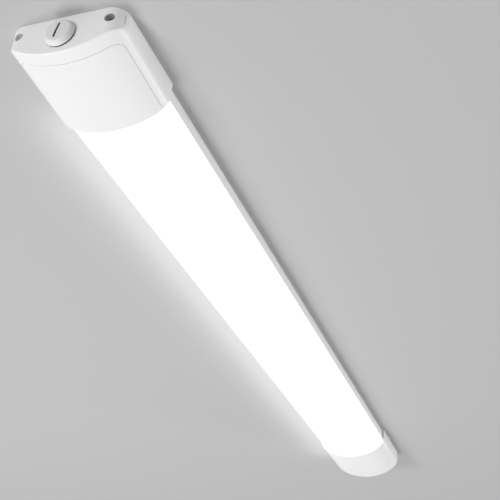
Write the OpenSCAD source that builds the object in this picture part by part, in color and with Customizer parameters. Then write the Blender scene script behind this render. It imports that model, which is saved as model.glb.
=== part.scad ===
// Vapor tight ceiling light: extruded body with an opal diffuser, a wiring box at one end
// and a closed cap at the other. Millimetres, +Z up to the ceiling, light goes down.
// The origin lies on the mounting plane, between the two rear screws of the wiring box,
// and +X runs along the body to the closed cap.

/* [Overall] */
// Length over both end pieces
overall_len = 1200; // [800:10:1500]
// Width of the extruded body
body_w = 112; // [106:1:124]
// Step of the body's back behind the mounting plane
back_inset = 1.7; // [1.4:0.1:2.2]
// Height of the opaque side strip
strip_h = 15.1; // [14.5:0.1:18]
// Height of the diffuser dome in front of the strip
dome_h = 27.8; // [25:0.2:32]
// Roundness of the dome, where 2 is an ellipse
dome_exp = 1.75; // [1.6:0.05:2]
// Flats on the dome of every section
dome_steps = 28; // [16:2:40]

/* [End pieces] */
// Length of the wiring box
box_len = 108; // [96:1:130]
// Length of the closed end cap
cap_len = 122; // [100:1:150]
// Step of the end pieces outside the body, each side
end_step = 3.15; // [2.8:0.05:4]
// Step of the end pieces in front of the diffuser
front_step = 3.3; // [3:0.1:4]
// Plan radius of the wiring box's end corners
corner_r = 16; // [8:1:18]
// Rise of the wiring box's crown towards the diffuser
crown_rise = 4.9; // [0:0.1:5.5]
// Wall of the end pieces
shell_t = 2.4; // [2:0.1:2.6]
// Back wall of the end pieces
back_t = 3; // [2.5:0.1:4]
// End wall of the end pieces
end_t = 3; // [2.5:0.1:4]
// Inner wall that closes the body's end
bulkhead_t = 3; // [2:0.1:4]
// Length of the body inside the wiring box
box_grip = 16; // [12:1:18]
// Length of the body inside the closed cap
cap_grip = 62; // [40:1:66]
// Rounding of the closed cap's end edge
cap_edge = 2.2; // [1:0.1:3]
// Gap round the body inside an end piece
body_gap = 0.35; // [0.3:0.05:0.4]

/* [Wiring cover] */
// Skin of the cover
cover_t = 2; // [1.8:0.1:2.2]
// Lip of the cover over the diffuser
cover_lip = 2; // [1:0.1:3]
// Distance of the cover's edge from the end face
cover_edge = 14.8; // [14.5:0.1:20]
// Distance of the cover's edge from the box's sides
cover_margin = 6.35; // [6:0.05:9]
// Corner radius of the cover
cover_r = 11; // [6:1:14]
// Seam round the cover
cover_gap = 0.2; // [0.15:0.05:0.4]
// Squeezed height of the cover's seal
cover_seal_t = 1.2; // [0.8:0.1:1.6]
// Gap over the cover's seal
cover_seal_gap = 0.3; // [0.3:0.05:0.4]
// Width of the cover's seal
cover_seal_w = 3.6; // [2:0.1:4.5]
// Thickness of the ledge under the seal
ledge_t = 2; // [1.5:0.1:2.5]
// Width of the ledge beyond the cover's edge
ledge_w = 6; // [5.5:0.1:7]
// Height of the guide tabs on the cover
tab_h = 6; // [4:0.5:9]
// Length of a guide tab
tab_l = 12; // [8:1:16]

/* [Conduit plug] */
// Depth of the plug's axis below the mounting plane
plug_z = 22.1; // [20:0.1:23]
// Radius of the plug's thread
plug_thread_r = 13.1; // [12:0.1:13.4]
// Running gap between thread and hub
plug_fit = 0.08; // [0.05:0.01:0.1]
// Length of the thread
plug_thread_l = 12; // [10:0.5:14]
// Thread pitch
plug_pitch = 1.81; // [1.5:0.01:2]
// Wall of the hollow shank
plug_shell_t = 2.2; // [1.8:0.1:3]
// Radius of the plug's head
plug_head_r = 14.9; // [14.8:0.1:15.2]
// Radius of the head's front face
plug_face_r = 13.4; // [12:0.1:14]
// Height of the head's edge
plug_edge_h = 3.4; // [2.5:0.1:4]
// Height of the head over the end face
plug_head_h = 7.2; // [6:0.1:8]
// Thickness of the seal under the head
plug_seal_t = 0.9; // [0.6:0.1:1.2]
// Wall of the hub round the thread
hub_wall = 2.5; // [2:0.1:2.7]
// Slot length
slot_l = 16.6; // [12:0.1:20]
// Slot width
slot_w = 2; // [1.2:0.1:2.4]
// Slot depth
slot_d = 4; // [1.5:0.1:4.4]
// Turn of the slot from upright
slot_turn = 12; // [-90:1:90]

/* [Mounting] */
// Clear space between the entry grommet and the terminal block
grommet_clear = 1; // [0.6:0.1:4]
// Spacing of the rear screws, as on a round ceiling box
rear_spacing = 69.85; // [60:0.05:69.85]
// Radius of the rear screw holes
rear_hole_r = 2.5; // [2:0.1:2.8]
// Radius of the rear cable entry
entry_r = 11.1; // [9:0.1:12]
// Cable radius of the entry grommet
cable_r = 4.2; // [3:0.1:6]
// Flange of the entry grommet
grommet_flange = 2.9; // [2:0.1:4]
// Thickness of the grommet's flange
grommet_t = 2.4; // [1.5:0.1:3]
// Keyhole entry radius in the closed cap
key_entry_r = 5; // [4.5:0.1:6]
// Keyhole neck radius
key_neck_r = 2.4; // [2:0.1:3]
// Keyhole travel
key_travel = 11; // [8:0.5:12]
// Depth of the keyhole pocket behind the wall
key_depth = 7; // [5:0.5:9]
// Wall of the keyhole pocket
key_wall = 2; // [1.5:0.1:2.5]
// Distance of the keyhole's neck from the cap's end
key_from_end = 22; // [18:1:30]

/* [End screws] */
// Distance of the end screws from the centre line
end_screw_y = 46.5; // [44:0.1:46.5]
// Depth of the end screws below the mounting plane
end_screw_z = 12.2; // [11.8:0.1:13]
// Counterbore radius
end_bore_r = 4.7; // [4.4:0.1:4.8]
// Wall round the counterbore
tunnel_wall = 1.6; // [1.2:0.1:1.7]
// Screw radius
end_screw_r = 2; // [1.8:0.1:2.2]
// Clearance round a screw's shank
screw_clear = 0.2; // [0.1:0.05:0.3]
// Screw head radius
end_head_r = 3.9; // [3.5:0.1:4.1]
// Screw head height
end_head_h = 3; // [2.4:0.1:3.6]
// Screw length under the head
end_screw_l = 34; // [28:1:40]
// Floor under the screw's head
seat_t = 10; // [6:1:12]

/* [Body] */
// Thickness of the channel's back
channel_back_t = 2.3; // [2:0.1:2.6]
// Thickness of the channel's outer skin
channel_skin_t = 1.1; // [0.9:0.1:1.3]
// Width of the groove for the diffuser's tongue
groove_w = 1.5; // [1.4:0.1:1.7]
// Thickness of the groove's inner wall
groove_wall_t = 1.1; // [0.9:0.1:1.3]
// Depth of the channel's hollow above the groove
hollow_gap = 1.2; // [0.8:0.1:1.5]
// Depth of the groove
groove_d = 6; // [4:0.1:6.5]
// Thickness of the diffuser
diffuser_t = 1.8; // [1.5:0.1:2]
// Thickness of the diffuser's tongue
tongue_t = 1.2; // [1:0.1:1.25]
// Chamfer on the channel's back edges
channel_chamfer = 1; // [0.6:0.1:1.4]
// Thickness of the end seals
end_seal_t = 2; // [1.5:0.1:2.5]
// Width of the end seals
end_seal_w = 6; // [5:0.5:8]

/* [Lamp] */
// Thickness of the tray's sheet
tray_t = 0.8; // [0.7:0.1:1]
// Half width of the tray's raised middle
tray_top_w = 30; // [28:1:31]
// Height of the tray's raised middle over its edges
tray_rise = 7.4; // [7:0.1:8]
// Play of the tray's edges in the channel
tray_play = 0.1; // [0.05:0.05:0.2]
// Thickness of the rails that hold the tray
rail_t = 1.2; // [1:0.1:1.4]
// Reach of the rails under the tray's edges
rail_w = 3; // [2:0.1:3.5]
// Wall of the screw ports in the channel
port_wall = 1.9; // [1.6:0.1:2]
// Thickness of a light board
board_t = 1.6; // [1:0.1:1.6]
// Width of a light board
board_w = 18; // [14:1:20]
// Distance of each row of boards from the centre line
board_y = 16; // [14:1:18]
// Gap between two boards in a row
board_gap = 6; // [4:1:10]
// Light emitting chips on each board
chips_per_board = 24; // [12:1:28]
// Length of a chip
chip_l = 3.5; // [2.8:0.1:5]
// Width of a chip
chip_w = 2.8; // [2:0.1:3.5]
// Height of a chip
chip_h = 0.75; // [0.5:0.05:1]
// Fixing screws on each board
screws_per_board = 4; // [2:1:6]

/* [Driver] */
// Length of the driver's case
driver_l = 190; // [160:5:220]
// Width of the driver's case
driver_w = 44; // [40:1:50]
// Height of the driver's case
driver_h = 15; // [14:0.2:16]
// Sheet of the driver's case
driver_sheet = 0.8; // [0.6:0.1:1]
// Distance of the driver from the body's end
driver_from_end = 34; // [30:1:60]
// Length of the driver's fixing ears
driver_ear = 10; // [9:1:14]
// Width of the driver's fixing ears
ear_w = 38; // [34:1:40]
// Radius of the choke's winding
choke_r = 8.6; // [7:0.2:9]
// Height of the choke
choke_h = 7; // [5:0.5:7.5]
// Length of an input capacitor
cap_in_l = 21; // [16:1:22]
// Radius of an input capacitor
cap_in_r = 4; // [3:0.1:4.2]
// Length of an output capacitor
cap_out_l = 14; // [10:1:16]
// Radius of an output capacitor
cap_out_r = 3; // [2.5:0.1:3.6]
// Length of the transformer
coil_l = 22; // [18:1:24]
// Width of the transformer
coil_w = 18; // [14:1:20]
// Length of the heat sink
sink_l = 24; // [18:1:26]
// Height of the heat sink
sink_h = 7.6; // [5:0.2:8]
// Radius of a gear fixing screw
fix_screw_r = 1.6; // [1.4:0.1:1.8]
// Radius of a gear fixing screw's head
fix_head_r = 2.8; // [2.4:0.1:3]

/* [Terminals] */
// Terminal pitch
pole_pitch = 10; // [9:0.5:11]
// Length of the terminal block
block_l = 24; // [20:1:24]
// Height of the terminal block
block_h = 17; // [15:0.5:18]
// Gap from the block to the bulkhead
block_gap = 6; // [4:1:8]
// Radius of a wire entry
wire_entry_r = 2.1; // [1.6:0.1:2.4]
// Button length
button_l = 7; // [5:0.5:8]
// Button width
button_w = 5; // [4:0.5:6]
// Button travel
button_travel = 1.5; // [1:0.1:2]
// Height of a button over the block
button_stand = 2.2; // [2:0.1:3]
// Depth of a button in the block
button_root = 3.2; // [2:0.1:3.5]
// Radius of an insulated inner lead
lead_r = 1.3; // [1:0.1:1.5]

/* [Hidden] */

$fn = 48;
eps = 0.01;
reach = 60;             // past every surface in a cut
white_plastic = [0.93, 0.93, 0.93];
strip_plastic = [0.86, 0.86, 0.87];
opal = [0.98, 0.98, 0.97];
seal_grey = [0.25, 0.25, 0.26];
steel = [0.72, 0.73, 0.75];
board_white = [0.95, 0.95, 0.93];

// Section of the body, the lowest edge of the strip and the crown of the diffuser
strip_z = back_inset + strip_h;
body_half = body_w/2;
end_half = body_half + end_step;
shoulder_drop = 1.1;
side_bulge = 0.45;      // keeps the dome from meeting the box's side in a tangent
box_dome_h = dome_h + front_step - shoulder_drop;
box_dome_exp = dome_exp + 0.1;
crown_angle = atan(crown_rise/box_len);
box_strip_z = strip_z + shoulder_drop - crown_rise;   // strip height of the box at its end face

// Stations along the length, from the wiring box's end face
bulkhead_x = box_len - box_grip - end_seal_t - bulkhead_t;
body_x0 = box_len - box_grip;
body_x1 = overall_len - cap_len + cap_grip;
cap_bulkhead_x = body_x1 + end_seal_t;
key_neck_x = overall_len - key_from_end;
hub_l = plug_thread_l + 2;
ledge_top = cover_t + cover_seal_gap + cover_seal_t;

// Levels inside the body
channel_in_z = back_inset + channel_back_t;
groove_in = body_half - channel_skin_t - groove_w;
channel_in = groove_in - groove_wall_t;
tongue_out = body_half - channel_skin_t - (groove_w - tongue_t)/2;
port_r = end_screw_r + port_wall;
tray_half = end_screw_y - port_r - 0.2;
tray_foot_w = tray_half - rail_w - 3;
rail_low_z = strip_z - 0.6;
tray_edge_z = rail_low_z - rail_t - tray_play;
tray_face_z = tray_edge_z + tray_rise;
board_face_z = tray_face_z + board_t;
row_len = body_x1 - body_x0 - 24;
board_l = (row_len - board_gap)/2;
tray_x0 = body_x0 + 6;
tray_x1 = body_x1 - 6;

// Driver stations
driver_x0 = body_x0 + driver_from_end;
driver_low_z = tray_face_z - tray_t;
driver_top_z = driver_low_z - driver_h;
leg_h = 3;
pcb_z = driver_low_z - driver_sheet - leg_h;

// Terminal block
block_w = 3*pole_pitch + 6;
block_x1 = bulkhead_x - block_gap;
block_x0 = block_x1 - block_l;
entry_nib = 2;
// Distance of the rear screws from the end face
rear_fix_x = block_x0 - entry_nib - grommet_clear - entry_r - grommet_flange;
block_z = back_t + block_h;
button_x = block_x0 + 0.62*block_l;
wire_z = back_t + 0.45*block_h;
seal_slot_w = 2*pole_pitch + 10;
seal_slot_h = 9;

// Point list of a dome below z = -z0, from +y to -y
function dome(a, b, n, z0) = [for (i = [0:dome_steps])
    let (t = 180*i/dome_steps, c = cos(t), s = sin(t))
    [a*sign(c)*pow(abs(c), 2/n), -z0 - b*pow(abs(s), 2/n)]];

// Points of a quarter arc
function arc(cx, cy, r, a0, a1, steps = 8) = [for (i = [0:steps])
    let (t = a0 + (a1 - a0)*i/steps) [cx + r*cos(t), cy + r*sin(t)]];

// Closed section with straight sides up to z = top and a dome below
module d_section(a, b, n, z0, top) {
    polygon(concat([[a, top]], dome(a, b, n, z0), [[-a, top]]));
}

// Stands a (y, z) outline on its plane and draws it out along +X
module along_x(x0, length) {
    translate([x0, 0, 0]) rotate([90, 0, 90]) linear_extrude(length) children();
}

// A cylinder along +X
module rod_x(x0, length, r, y = 0, z = 0) {
    translate([x0, y, z]) rotate([0, 90, 0]) cylinder(h = length, r = r);
}

// Puts the end face's zero where the origin needs it
module placed() {
    translate([-rear_fix_x, 0, 0]) children();
}

// The body's own outer section, grown by a gap and drawn out along X
module body_solid(x0, length, grow = 0) {
    along_x(x0, length)
        d_section(body_half + grow, dome_h + grow, dome_exp, strip_z, -back_inset + grow);
}

// The wiring box's dome, sunk by an inset and sloping up to the crown's rise
module box_dome(inset = 0) {
    rotate([0, crown_angle, 0]) along_x(-reach, box_len + 2*reach)
        d_section(end_half + side_bulge - inset, box_dome_h - inset, box_dome_exp,
            box_strip_z, reach);
}

// Plan of the wiring box with its two rounded end corners
module box_plan(inset = 0) {
    r = corner_r - inset;
    h = end_half - inset;
    polygon(concat([[box_len, h], [box_len, -h]],
        arc(inset + r, -h + r, r, 270, 180), arc(inset + r, h - r, r, 180, 90)));
}

// Solid of the wiring box, from z = top down, with its outside sunk by an inset
module box_solid(inset = 0, top = 0) {
    intersection() {
        box_dome(inset);
        translate([0, 0, top - 2*reach]) linear_extrude(2*reach) box_plan(inset);
    }
}

// Plan of the cover, shrunk by an inset, open at the diffuser's end
module cover_plan(inset = 0, x1 = box_len) {
    r = max(cover_r - inset, 1);
    h = end_half - cover_margin - inset;
    x = cover_edge + inset;
    polygon(concat([[x1, h], [x1, -h]], arc(x + r, -h + r, r, 270, 180),
        arc(x + r, h - r, r, 180, 90)));
}

// A plan outline as a prism through the front of the box
module front_prism(z_top = -6) {
    translate([0, 0, z_top - reach]) linear_extrude(reach) children();
}

// Everything past x in the front of the box
module beyond(x) {
    translate([x, -reach, -2*reach]) cube([reach, 2*reach, 2*reach]);
}

// Space inside the wiring box between the end wall and the bulkhead
module wiring_space() {
    intersection() {
        box_solid(shell_t, -back_t);
        translate([end_t, -reach, -2*reach]) cube([bulkhead_x - end_t, 2*reach, 2*reach]);
    }
}

// Ledge that carries the cover's seal, following the dome
module seal_ledge() {
    intersection() {
        difference() {
            box_dome(ledge_top);
            box_dome(ledge_top + ledge_t);
            front_prism() cover_plan(ledge_w, bulkhead_x - ledge_w);
        }
        box_solid(shell_t/2);
        translate([end_t/2, -reach, -2*reach])
            cube([bulkhead_x - end_t/2 + bulkhead_t/2, 2*reach, 2*reach - 10]);
    }
}

module screw_tunnels(x0, length, r) {
    for (s = [-1, 1]) rod_x(x0, length, r, s*end_screw_y, -end_screw_z);
}

// Narrow moulded grooves on the rounded end corners
module corner_grooves() {
    for (s = [-1, 1]) translate([corner_r, s*(end_half - corner_r), -10.4])
        rotate([0, 0, s*115.5]) translate([corner_r, 0, 0]) cube([2.4, 0.7, 10.8], center = true);
}

module wiring_box() {
    color(white_plastic) placed() difference() {
        union() {
            difference() {
                box_solid();
                wiring_space();
                body_solid(body_x0 - end_seal_t, box_len, body_gap);
                difference() {
                    front_prism() cover_plan();
                    difference() {
                        box_dome(ledge_top);
                        beyond(box_len - cover_lip - cover_gap);
                    }
                }
            }
            seal_ledge();
            intersection() {
                screw_tunnels(end_t/2, bulkhead_x, end_bore_r + tunnel_wall);
                box_solid(shell_t/2, -back_t/2);
            }
            rod_x(end_t/2, hub_l - end_t/2, plug_thread_r + hub_wall, 0, -plug_z);
        }
        screw_tunnels(-1, bulkhead_x + bulkhead_t - seat_t + 1, end_bore_r);
        screw_tunnels(-1, box_len, end_screw_r + screw_clear);
        rod_x(-1, hub_l + 2, plug_thread_r + plug_fit, 0, -plug_z);
        corner_grooves();
        translate([bulkhead_x - 1, -seal_slot_w/2, -wire_z - seal_slot_h/2])
            cube([bulkhead_t + 2, seal_slot_w, seal_slot_h]);
        translate([rear_fix_x, 0, -back_t - 1]) cylinder(h = back_t + 2, r = entry_r);
        for (s = [-1, 1]) translate([rear_fix_x, s*rear_spacing/2, -back_t - 1])
            cylinder(h = back_t + 2, r = rear_hole_r);
    }
}

module wiring_cover() {
    color(white_plastic) placed() {
        difference() {
            intersection() {
                box_dome();
                front_prism() cover_plan(cover_gap);
            }
            difference() {
                box_dome(cover_t);
                // lip that closes the gap over the diffuser
                beyond(box_len - cover_lip);
            }
            body_solid(body_x0, box_len, body_gap);
        }
        // guide tabs that run down inside the ledge
        tab_y = end_half - cover_margin - ledge_w - 0.4;
        for (s = [-1, 1], x = [cover_edge + 20, bulkhead_x - ledge_w - 22])
            intersection() {
                translate([x, s*(tab_y - 0.8) - 0.8, -2*reach]) cube([tab_l, 1.6, 2*reach]);
                difference() {
                    box_dome(cover_t - 0.2);
                    translate([0, 0, tab_h]) box_dome(cover_t + 3);
                }
            }
    }
}

module cover_seal() {
    color(seal_grey) placed() intersection() {
        difference() {
            box_dome(cover_t + cover_seal_gap);
            box_dome(ledge_top);
        }
        difference() {
            front_prism() cover_plan(cover_gap + 0.2, bulkhead_x + bulkhead_t - 0.6);
            front_prism(-5) cover_plan(cover_gap + 0.2 + cover_seal_w,
                bulkhead_x + bulkhead_t - 0.6 - cover_seal_w);
        }
    }
}

// Turned profile of the plug, radius against distance from the end face
module plug_profile() {
    top = plug_head_h;
    polygon(concat([[0, top - slot_d - 2], [0, top]],
        [for (i = [1:6]) let (t = i/6)
            [plug_face_r*t, top - (top - plug_edge_h - 1.3)*t*t]],
        arc(plug_head_r - 1.2, plug_edge_h, 1.2, 50, 0, 4),
        [[plug_head_r, plug_seal_t], [plug_thread_r, plug_seal_t],
            [plug_thread_r, -plug_thread_l + plug_pitch/2], [plug_thread_r - plug_pitch/2, -plug_thread_l],
            [plug_thread_r - plug_shell_t, -plug_thread_l], [plug_thread_r - plug_shell_t, 0.5]]));
}

module conduit_plug() {
    color(white_plastic) placed() difference() {
        translate([0, 0, -plug_z]) rotate([0, -90, 0]) rotate_extrude() plug_profile();
        translate([-plug_head_h - 1 + slot_d/2 + 0.5, 0, -plug_z]) rotate([slot_turn, 0, 0])
            cube([slot_d + 1, slot_w, slot_l], center = true);
    }
}

module plug_seal() {
    color(seal_grey) placed() difference() {
        rod_x(-plug_seal_t + 0.03, plug_seal_t - 0.06, plug_head_r - 0.5, 0, -plug_z);
        rod_x(-2, 4, plug_thread_r + 0.1, 0, -plug_z);
    }
}

module cable_grommet() {
    color(seal_grey) placed() translate([rear_fix_x, 0, 0]) difference() {
        union() {
            translate([0, 0, -back_t]) cylinder(h = back_t - 0.2, r = entry_r - 0.05);
            translate([0, 0, -back_t - grommet_t]) cylinder(h = grommet_t, r = entry_r + grommet_flange);
            translate([0, 0, -back_t - grommet_t - 2]) cylinder(h = 2, r = cable_r + 2);
        }
        translate([0, 0, -reach/2]) cylinder(h = reach, r = cable_r);
    }
}

// Pole centres of the terminal block, from -Y to +Y
function pole_y(i) = (i - 1)*pole_pitch;

module button_well(i, extra) {
    translate([button_x - button_l/2 - extra, pole_y(i) - button_w/2 - extra, -block_z - 1])
        cube([button_l + 2*extra, button_w + 2*extra, 1 + button_root + button_travel + extra]);
}

module terminal_block() {
    color([0.9, 0.9, 0.88]) placed() difference() {
        union() {
            translate([block_x0, -block_w/2, -block_z]) cube([block_l, block_w, block_h]);
            for (i = [0:2]) translate([block_x0 - entry_nib, pole_y(i) - pole_pitch/2 + 0.8, -wire_z - 5])
                cube([entry_nib + 1, pole_pitch - 1.6, 8]);
        }
        for (i = [0:2]) {
            rod_x(block_x0 - 3, 15, wire_entry_r, pole_y(i), -wire_z);
            rod_x(block_x1 - 8, 9, lead_r + 0.1, pole_y(i), -wire_z);
            button_well(i, 0.2);
            translate([block_x0 + 11.9, pole_y(i) - 3.1, -wire_z - 3.1]) cube([4.2, 6.2, 6.2]);
        }
        for (s = [-1, 1]) translate([block_x0 + 6, s*(block_w/2 - 3.2), -block_z - 1]) {
            cylinder(h = block_h + 2, r = 1.5);
            cylinder(h = 5, r = 2.6);
        }
    }
}

module terminal_contacts() {
    color([0.8, 0.66, 0.35]) placed() for (i = [0:2])
        translate([block_x0 + 12, pole_y(i) - 3, -wire_z - 3]) difference() {
            cube([4, 6, 6]);
            translate([-1, 1, 1]) cube([6, 4, 4]);
        }
}

module terminal_screws() {
    color(steel) placed() for (s = [-1, 1])
        translate([block_x0 + 6, s*(block_w/2 - 3.2), 0]) difference() {
            union() {
                translate([0, 0, -block_z + 1.6]) cylinder(h = 2.3, r = 2.4);
                translate([0, 0, -block_z + 3.8]) cylinder(h = block_h - 3.8, r = 1.4);
            }
            translate([0, 0, -block_z + 1.4]) cube([3.4, 0.7, 1.8], center = true);
        }
}

module release_button(i, tint) {
    color(tint) placed()
        translate([button_x - button_l/2, pole_y(i) - button_w/2, -block_z - button_stand]) difference() {
            cube([button_l, button_w, button_stand + button_root]);
            translate([button_l/2, button_w/2, 0]) cube([4, 0.8, 1.6], center = true);
        }
}

module line_button() { release_button(0, [0.25, 0.25, 0.27]); }
module neutral_button() { release_button(1, [0.85, 0.85, 0.85]); }
module earth_button() { release_button(2, [0.25, 0.6, 0.3]); }

// Insulated lead from p0 to p1, straight at both ends and with one soft bend between
function ease(u) = u*u*(3 - 2*u);
module lead(p0, p1, straight0, straight1, r = lead_r, rings = 14, sides = 8) {
    span = p1[0] - p0[0];
    body = span - straight0 - straight1;
    stations = concat([0], [for (i = [0:rings - 3]) straight0 + body*i/(rings - 3)], [span]);
    middle = [for (x = stations)
        let (u = min(max((x - straight0)/body, 0), 1))
        [p0[0] + x, p0[1] + (p1[1] - p0[1])*ease(u), p0[2] + (p1[2] - p0[2])*ease(u)]];
    pts = [for (m = middle, k = [0:sides - 1])
        [m[0], m[1] + r*cos(360*k/sides), m[2] + r*sin(360*k/sides)]];
    faces = concat([[for (k = [0:sides - 1]) k]],
        [for (i = [0:rings - 2], k = [0:sides - 1]) let (a = i*sides + k, b = i*sides + (k + 1)%sides)
            each [[a, a + sides, b], [b, a + sides, b + sides]]],
        [[for (k = [sides - 1:-1:0]) (rings - 1)*sides + k]]);
    polyhedron(points = pts, faces = faces);
}

lead_x0 = block_x1 - 6;
driver_in_x = driver_x0 + driver_sheet + 2;
driver_in_z = -(pcb_z - 4);

module line_lead() {
    color([0.12, 0.12, 0.13]) placed() lead([lead_x0, pole_y(0), -wire_z],
        [driver_in_x, -5, driver_in_z], bulkhead_x + bulkhead_t + 4 - lead_x0, 8);
}

module neutral_lead() {
    color([0.9, 0.9, 0.9]) placed() lead([lead_x0, pole_y(1), -wire_z],
        [driver_in_x, 0, driver_in_z], bulkhead_x + bulkhead_t + 4 - lead_x0, 8);
}

tag_x = driver_x0 - driver_ear/2 - 1;
tag_y = ear_w/2 - 5;
tag_z = driver_low_z - driver_sheet;

module earth_lead() {
    color([0.2, 0.55, 0.25]) placed() lead([lead_x0, pole_y(2), -wire_z],
        [tag_x - 4.4, tag_y, -(tag_z - lead_r - 0.9)], bulkhead_x + bulkhead_t + 4 - lead_x0, 3);
}

module earth_tag() {
    color([0.78, 0.74, 0.6]) placed() difference() {
        union() {
            translate([tag_x, tag_y, -tag_z]) cylinder(h = 0.8, r = 3.6);
            translate([tag_x - 7, tag_y - 1.6, -tag_z]) cube([5, 3.2, 0.8]);
        }
        translate([tag_x, tag_y, -tag_z - 1]) cylinder(h = 3, r = 1.75);
    }
}

module earth_screw() {
    color([0.2, 0.55, 0.3]) placed() union() {
        translate([tag_x, tag_y, -tag_z + 0.8]) cylinder(h = 2, r = 3);
        translate([tag_x, tag_y, -tray_face_z]) cylinder(h = tray_face_z - tag_z + 0.9, r = fix_screw_r);
    }
}

module lead_seal() {
    color(seal_grey) placed() difference() {
        union() {
            translate([bulkhead_x - 1.6, -seal_slot_w/2 - 2, -wire_z - seal_slot_h/2 - 2])
                cube([1.6, seal_slot_w + 4, seal_slot_h + 4]);
            translate([bulkhead_x - 0.5, -seal_slot_w/2 + 0.1, -wire_z - seal_slot_h/2 + 0.1])
                cube([bulkhead_t + 0.5, seal_slot_w - 0.2, seal_slot_h - 0.2]);
        }
        for (i = [0:2]) rod_x(bulkhead_x - 3, bulkhead_t + 6, lead_r + 0.05, pole_y(i), -wire_z);
    }
}

// Flat seal between a bulkhead and the body's end
module end_seal(x0) {
    difference() {
        body_solid(x0, end_seal_t, -0.2);
        along_x(x0 - 1, end_seal_t + 2) d_section(body_half - end_seal_w, dome_h - end_seal_w,
            dome_exp, strip_z, -back_inset - end_seal_w);
        screw_tunnels(x0 - 1, end_seal_t + 2, end_screw_r + screw_clear);
    }
}

module near_end_seal() { color(seal_grey) placed() end_seal(body_x0 - end_seal_t); }
module far_end_seal() { color(seal_grey) placed() end_seal(body_x1); }

// Two screws with their heads at x0, pointing along dir
module end_screws(x0, dir) {
    for (s = [-1, 1]) translate([x0, s*end_screw_y, -end_screw_z]) rotate([0, dir*90, 0]) difference() {
        union() {
            translate([0, 0, -end_head_h]) cylinder(h = end_head_h, r = end_head_r);
            translate([0, 0, -1]) cylinder(h = end_screw_l + 1, r = end_screw_r);
        }
        for (a = [0, 90]) rotate([0, 0, a]) translate([0, 0, -end_head_h])
            cube([4.6, 1, 2.6], center = true);
    }
}

module near_end_screws() {
    color(steel) placed() end_screws(bulkhead_x + bulkhead_t - seat_t, 1);
}
module far_end_screws() {
    color(steel) placed() end_screws(cap_bulkhead_x + seat_t, -1);
}

// Half outline of the channel: back, skin, groove and the web of the screw port
channel_half = [
    [body_half - channel_chamfer, -back_inset], [body_half, -back_inset - channel_chamfer],
    [body_half, -strip_z], [groove_in + groove_w, -strip_z], [groove_in + groove_w, -strip_z + groove_d],
    [groove_in, -strip_z + groove_d], [groove_in, -strip_z + 0.2], [channel_in, -strip_z + 0.2],
    [channel_in, -channel_in_z], [end_screw_y + port_r - 0.5, -channel_in_z],
    [end_screw_y + port_r - 0.5, -end_screw_z], [end_screw_y, -end_screw_z], [end_screw_y, -channel_in_z]];

function mirrored(pts) = [for (i = [len(pts) - 1:-1:0]) [-pts[i][0], pts[i][1]]];

module base_channel() {
    body_l = body_x1 - body_x0;
    hollow_z = -strip_z + groove_d + hollow_gap;
    color(strip_plastic) placed() difference() {
        union() {
            along_x(body_x0, body_l) polygon(concat(channel_half, mirrored(channel_half)));
            for (s = [-1, 1]) {
                rod_x(body_x0, body_l, port_r, s*end_screw_y, -end_screw_z);
                for (z = [-rail_low_z, -tray_edge_z + tray_t + tray_play])
                    translate([body_x0, s*(tray_half - rail_w/2 + 2) - rail_w/2 - 2, z])
                        cube([body_l, rail_w + 4, rail_t]);
            }
        }
        screw_tunnels(body_x0 - 1, body_l + 2, end_screw_r + 0.05);
        for (s = [-1, 1]) translate([body_x0 - 1, s*(groove_in + groove_w/2) - groove_w/2, hollow_z])
            cube([body_l + 2, groove_w, -channel_in_z - 0.6 - hollow_z]);
    }
}

// Diffuser: dome of even wall, with a tongue inside each edge
module diffuser() {
    tongue_in = tongue_out - tongue_t;
    inner = [for (p = dome(body_half - diffuser_t, dome_h - diffuser_t, dome_exp, strip_z))
        if (abs(p[0]) < tongue_in) p];
    tongue = [[tongue_in, -strip_z], [tongue_in, -strip_z + groove_d - 0.4],
        [tongue_out, -strip_z + groove_d - 0.4], [tongue_out, -strip_z]];
    color(opal) placed() along_x(body_x0, body_x1 - body_x0)
        polygon(concat(tongue, dome(body_half, dome_h, dome_exp, strip_z), mirrored(tongue),
            [for (i = [len(inner) - 1:-1:0]) inner[i]]));
}

// Folded tray: flat edges in the channel's rails, sloping sides and a raised middle
module led_tray() {
    edge = tray_half;
    color(board_white) placed() difference() {
        along_x(tray_x0, tray_x1 - tray_x0) polygon([
            [edge, -tray_edge_z], [tray_foot_w, -tray_edge_z], [tray_top_w, -tray_face_z],
            [-tray_top_w, -tray_face_z], [-tray_foot_w, -tray_edge_z], [-edge, -tray_edge_z],
            [-edge, -tray_edge_z + tray_t], [-tray_foot_w, -tray_edge_z + tray_t],
            [-tray_top_w, -tray_face_z + tray_t], [tray_top_w, -tray_face_z + tray_t],
            [tray_foot_w, -tray_edge_z + tray_t], [edge, -tray_edge_z + tray_t]]);
        fix_holes(tray_face_z);
        for (n = [0:3], i = [0:screws_per_board - 1])
            translate([screw_x(n, i), screw_y(n), -tray_face_z - 1]) cylinder(h = 3, r = 1.35);
    }
}

driver_x1 = driver_x0 + driver_l;
driver_fix = [[tag_x, -tag_y], [driver_x1 + driver_ear/2 + 1, tag_y],
    [driver_x1 + driver_ear/2 + 1, -tag_y]];

// Holes for the driver's screws and the earth screw
module fix_holes(z) {
    for (p = concat([[tag_x, tag_y]], driver_fix))
        translate([p[0], p[1], -z - 1]) cylinder(h = 3, r = fix_screw_r + 0.05);
}

// Place of board n: rows at +y and -y, two boards in each row
function board_x(n) = body_x0 + 12 + (n%2)*(board_l + board_gap);
function row_y(n) = (n < 2 ? 1 : -1)*board_y;
function screw_x(n, i) = board_x(n) + 14 + i*(board_l - 28)/(screws_per_board - 1);
function screw_y(n) = row_y(n) + board_w/2 - 3.4;
function chip_x(n, i) = board_x(n) + (i + 0.5)*board_l/chips_per_board;

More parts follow.
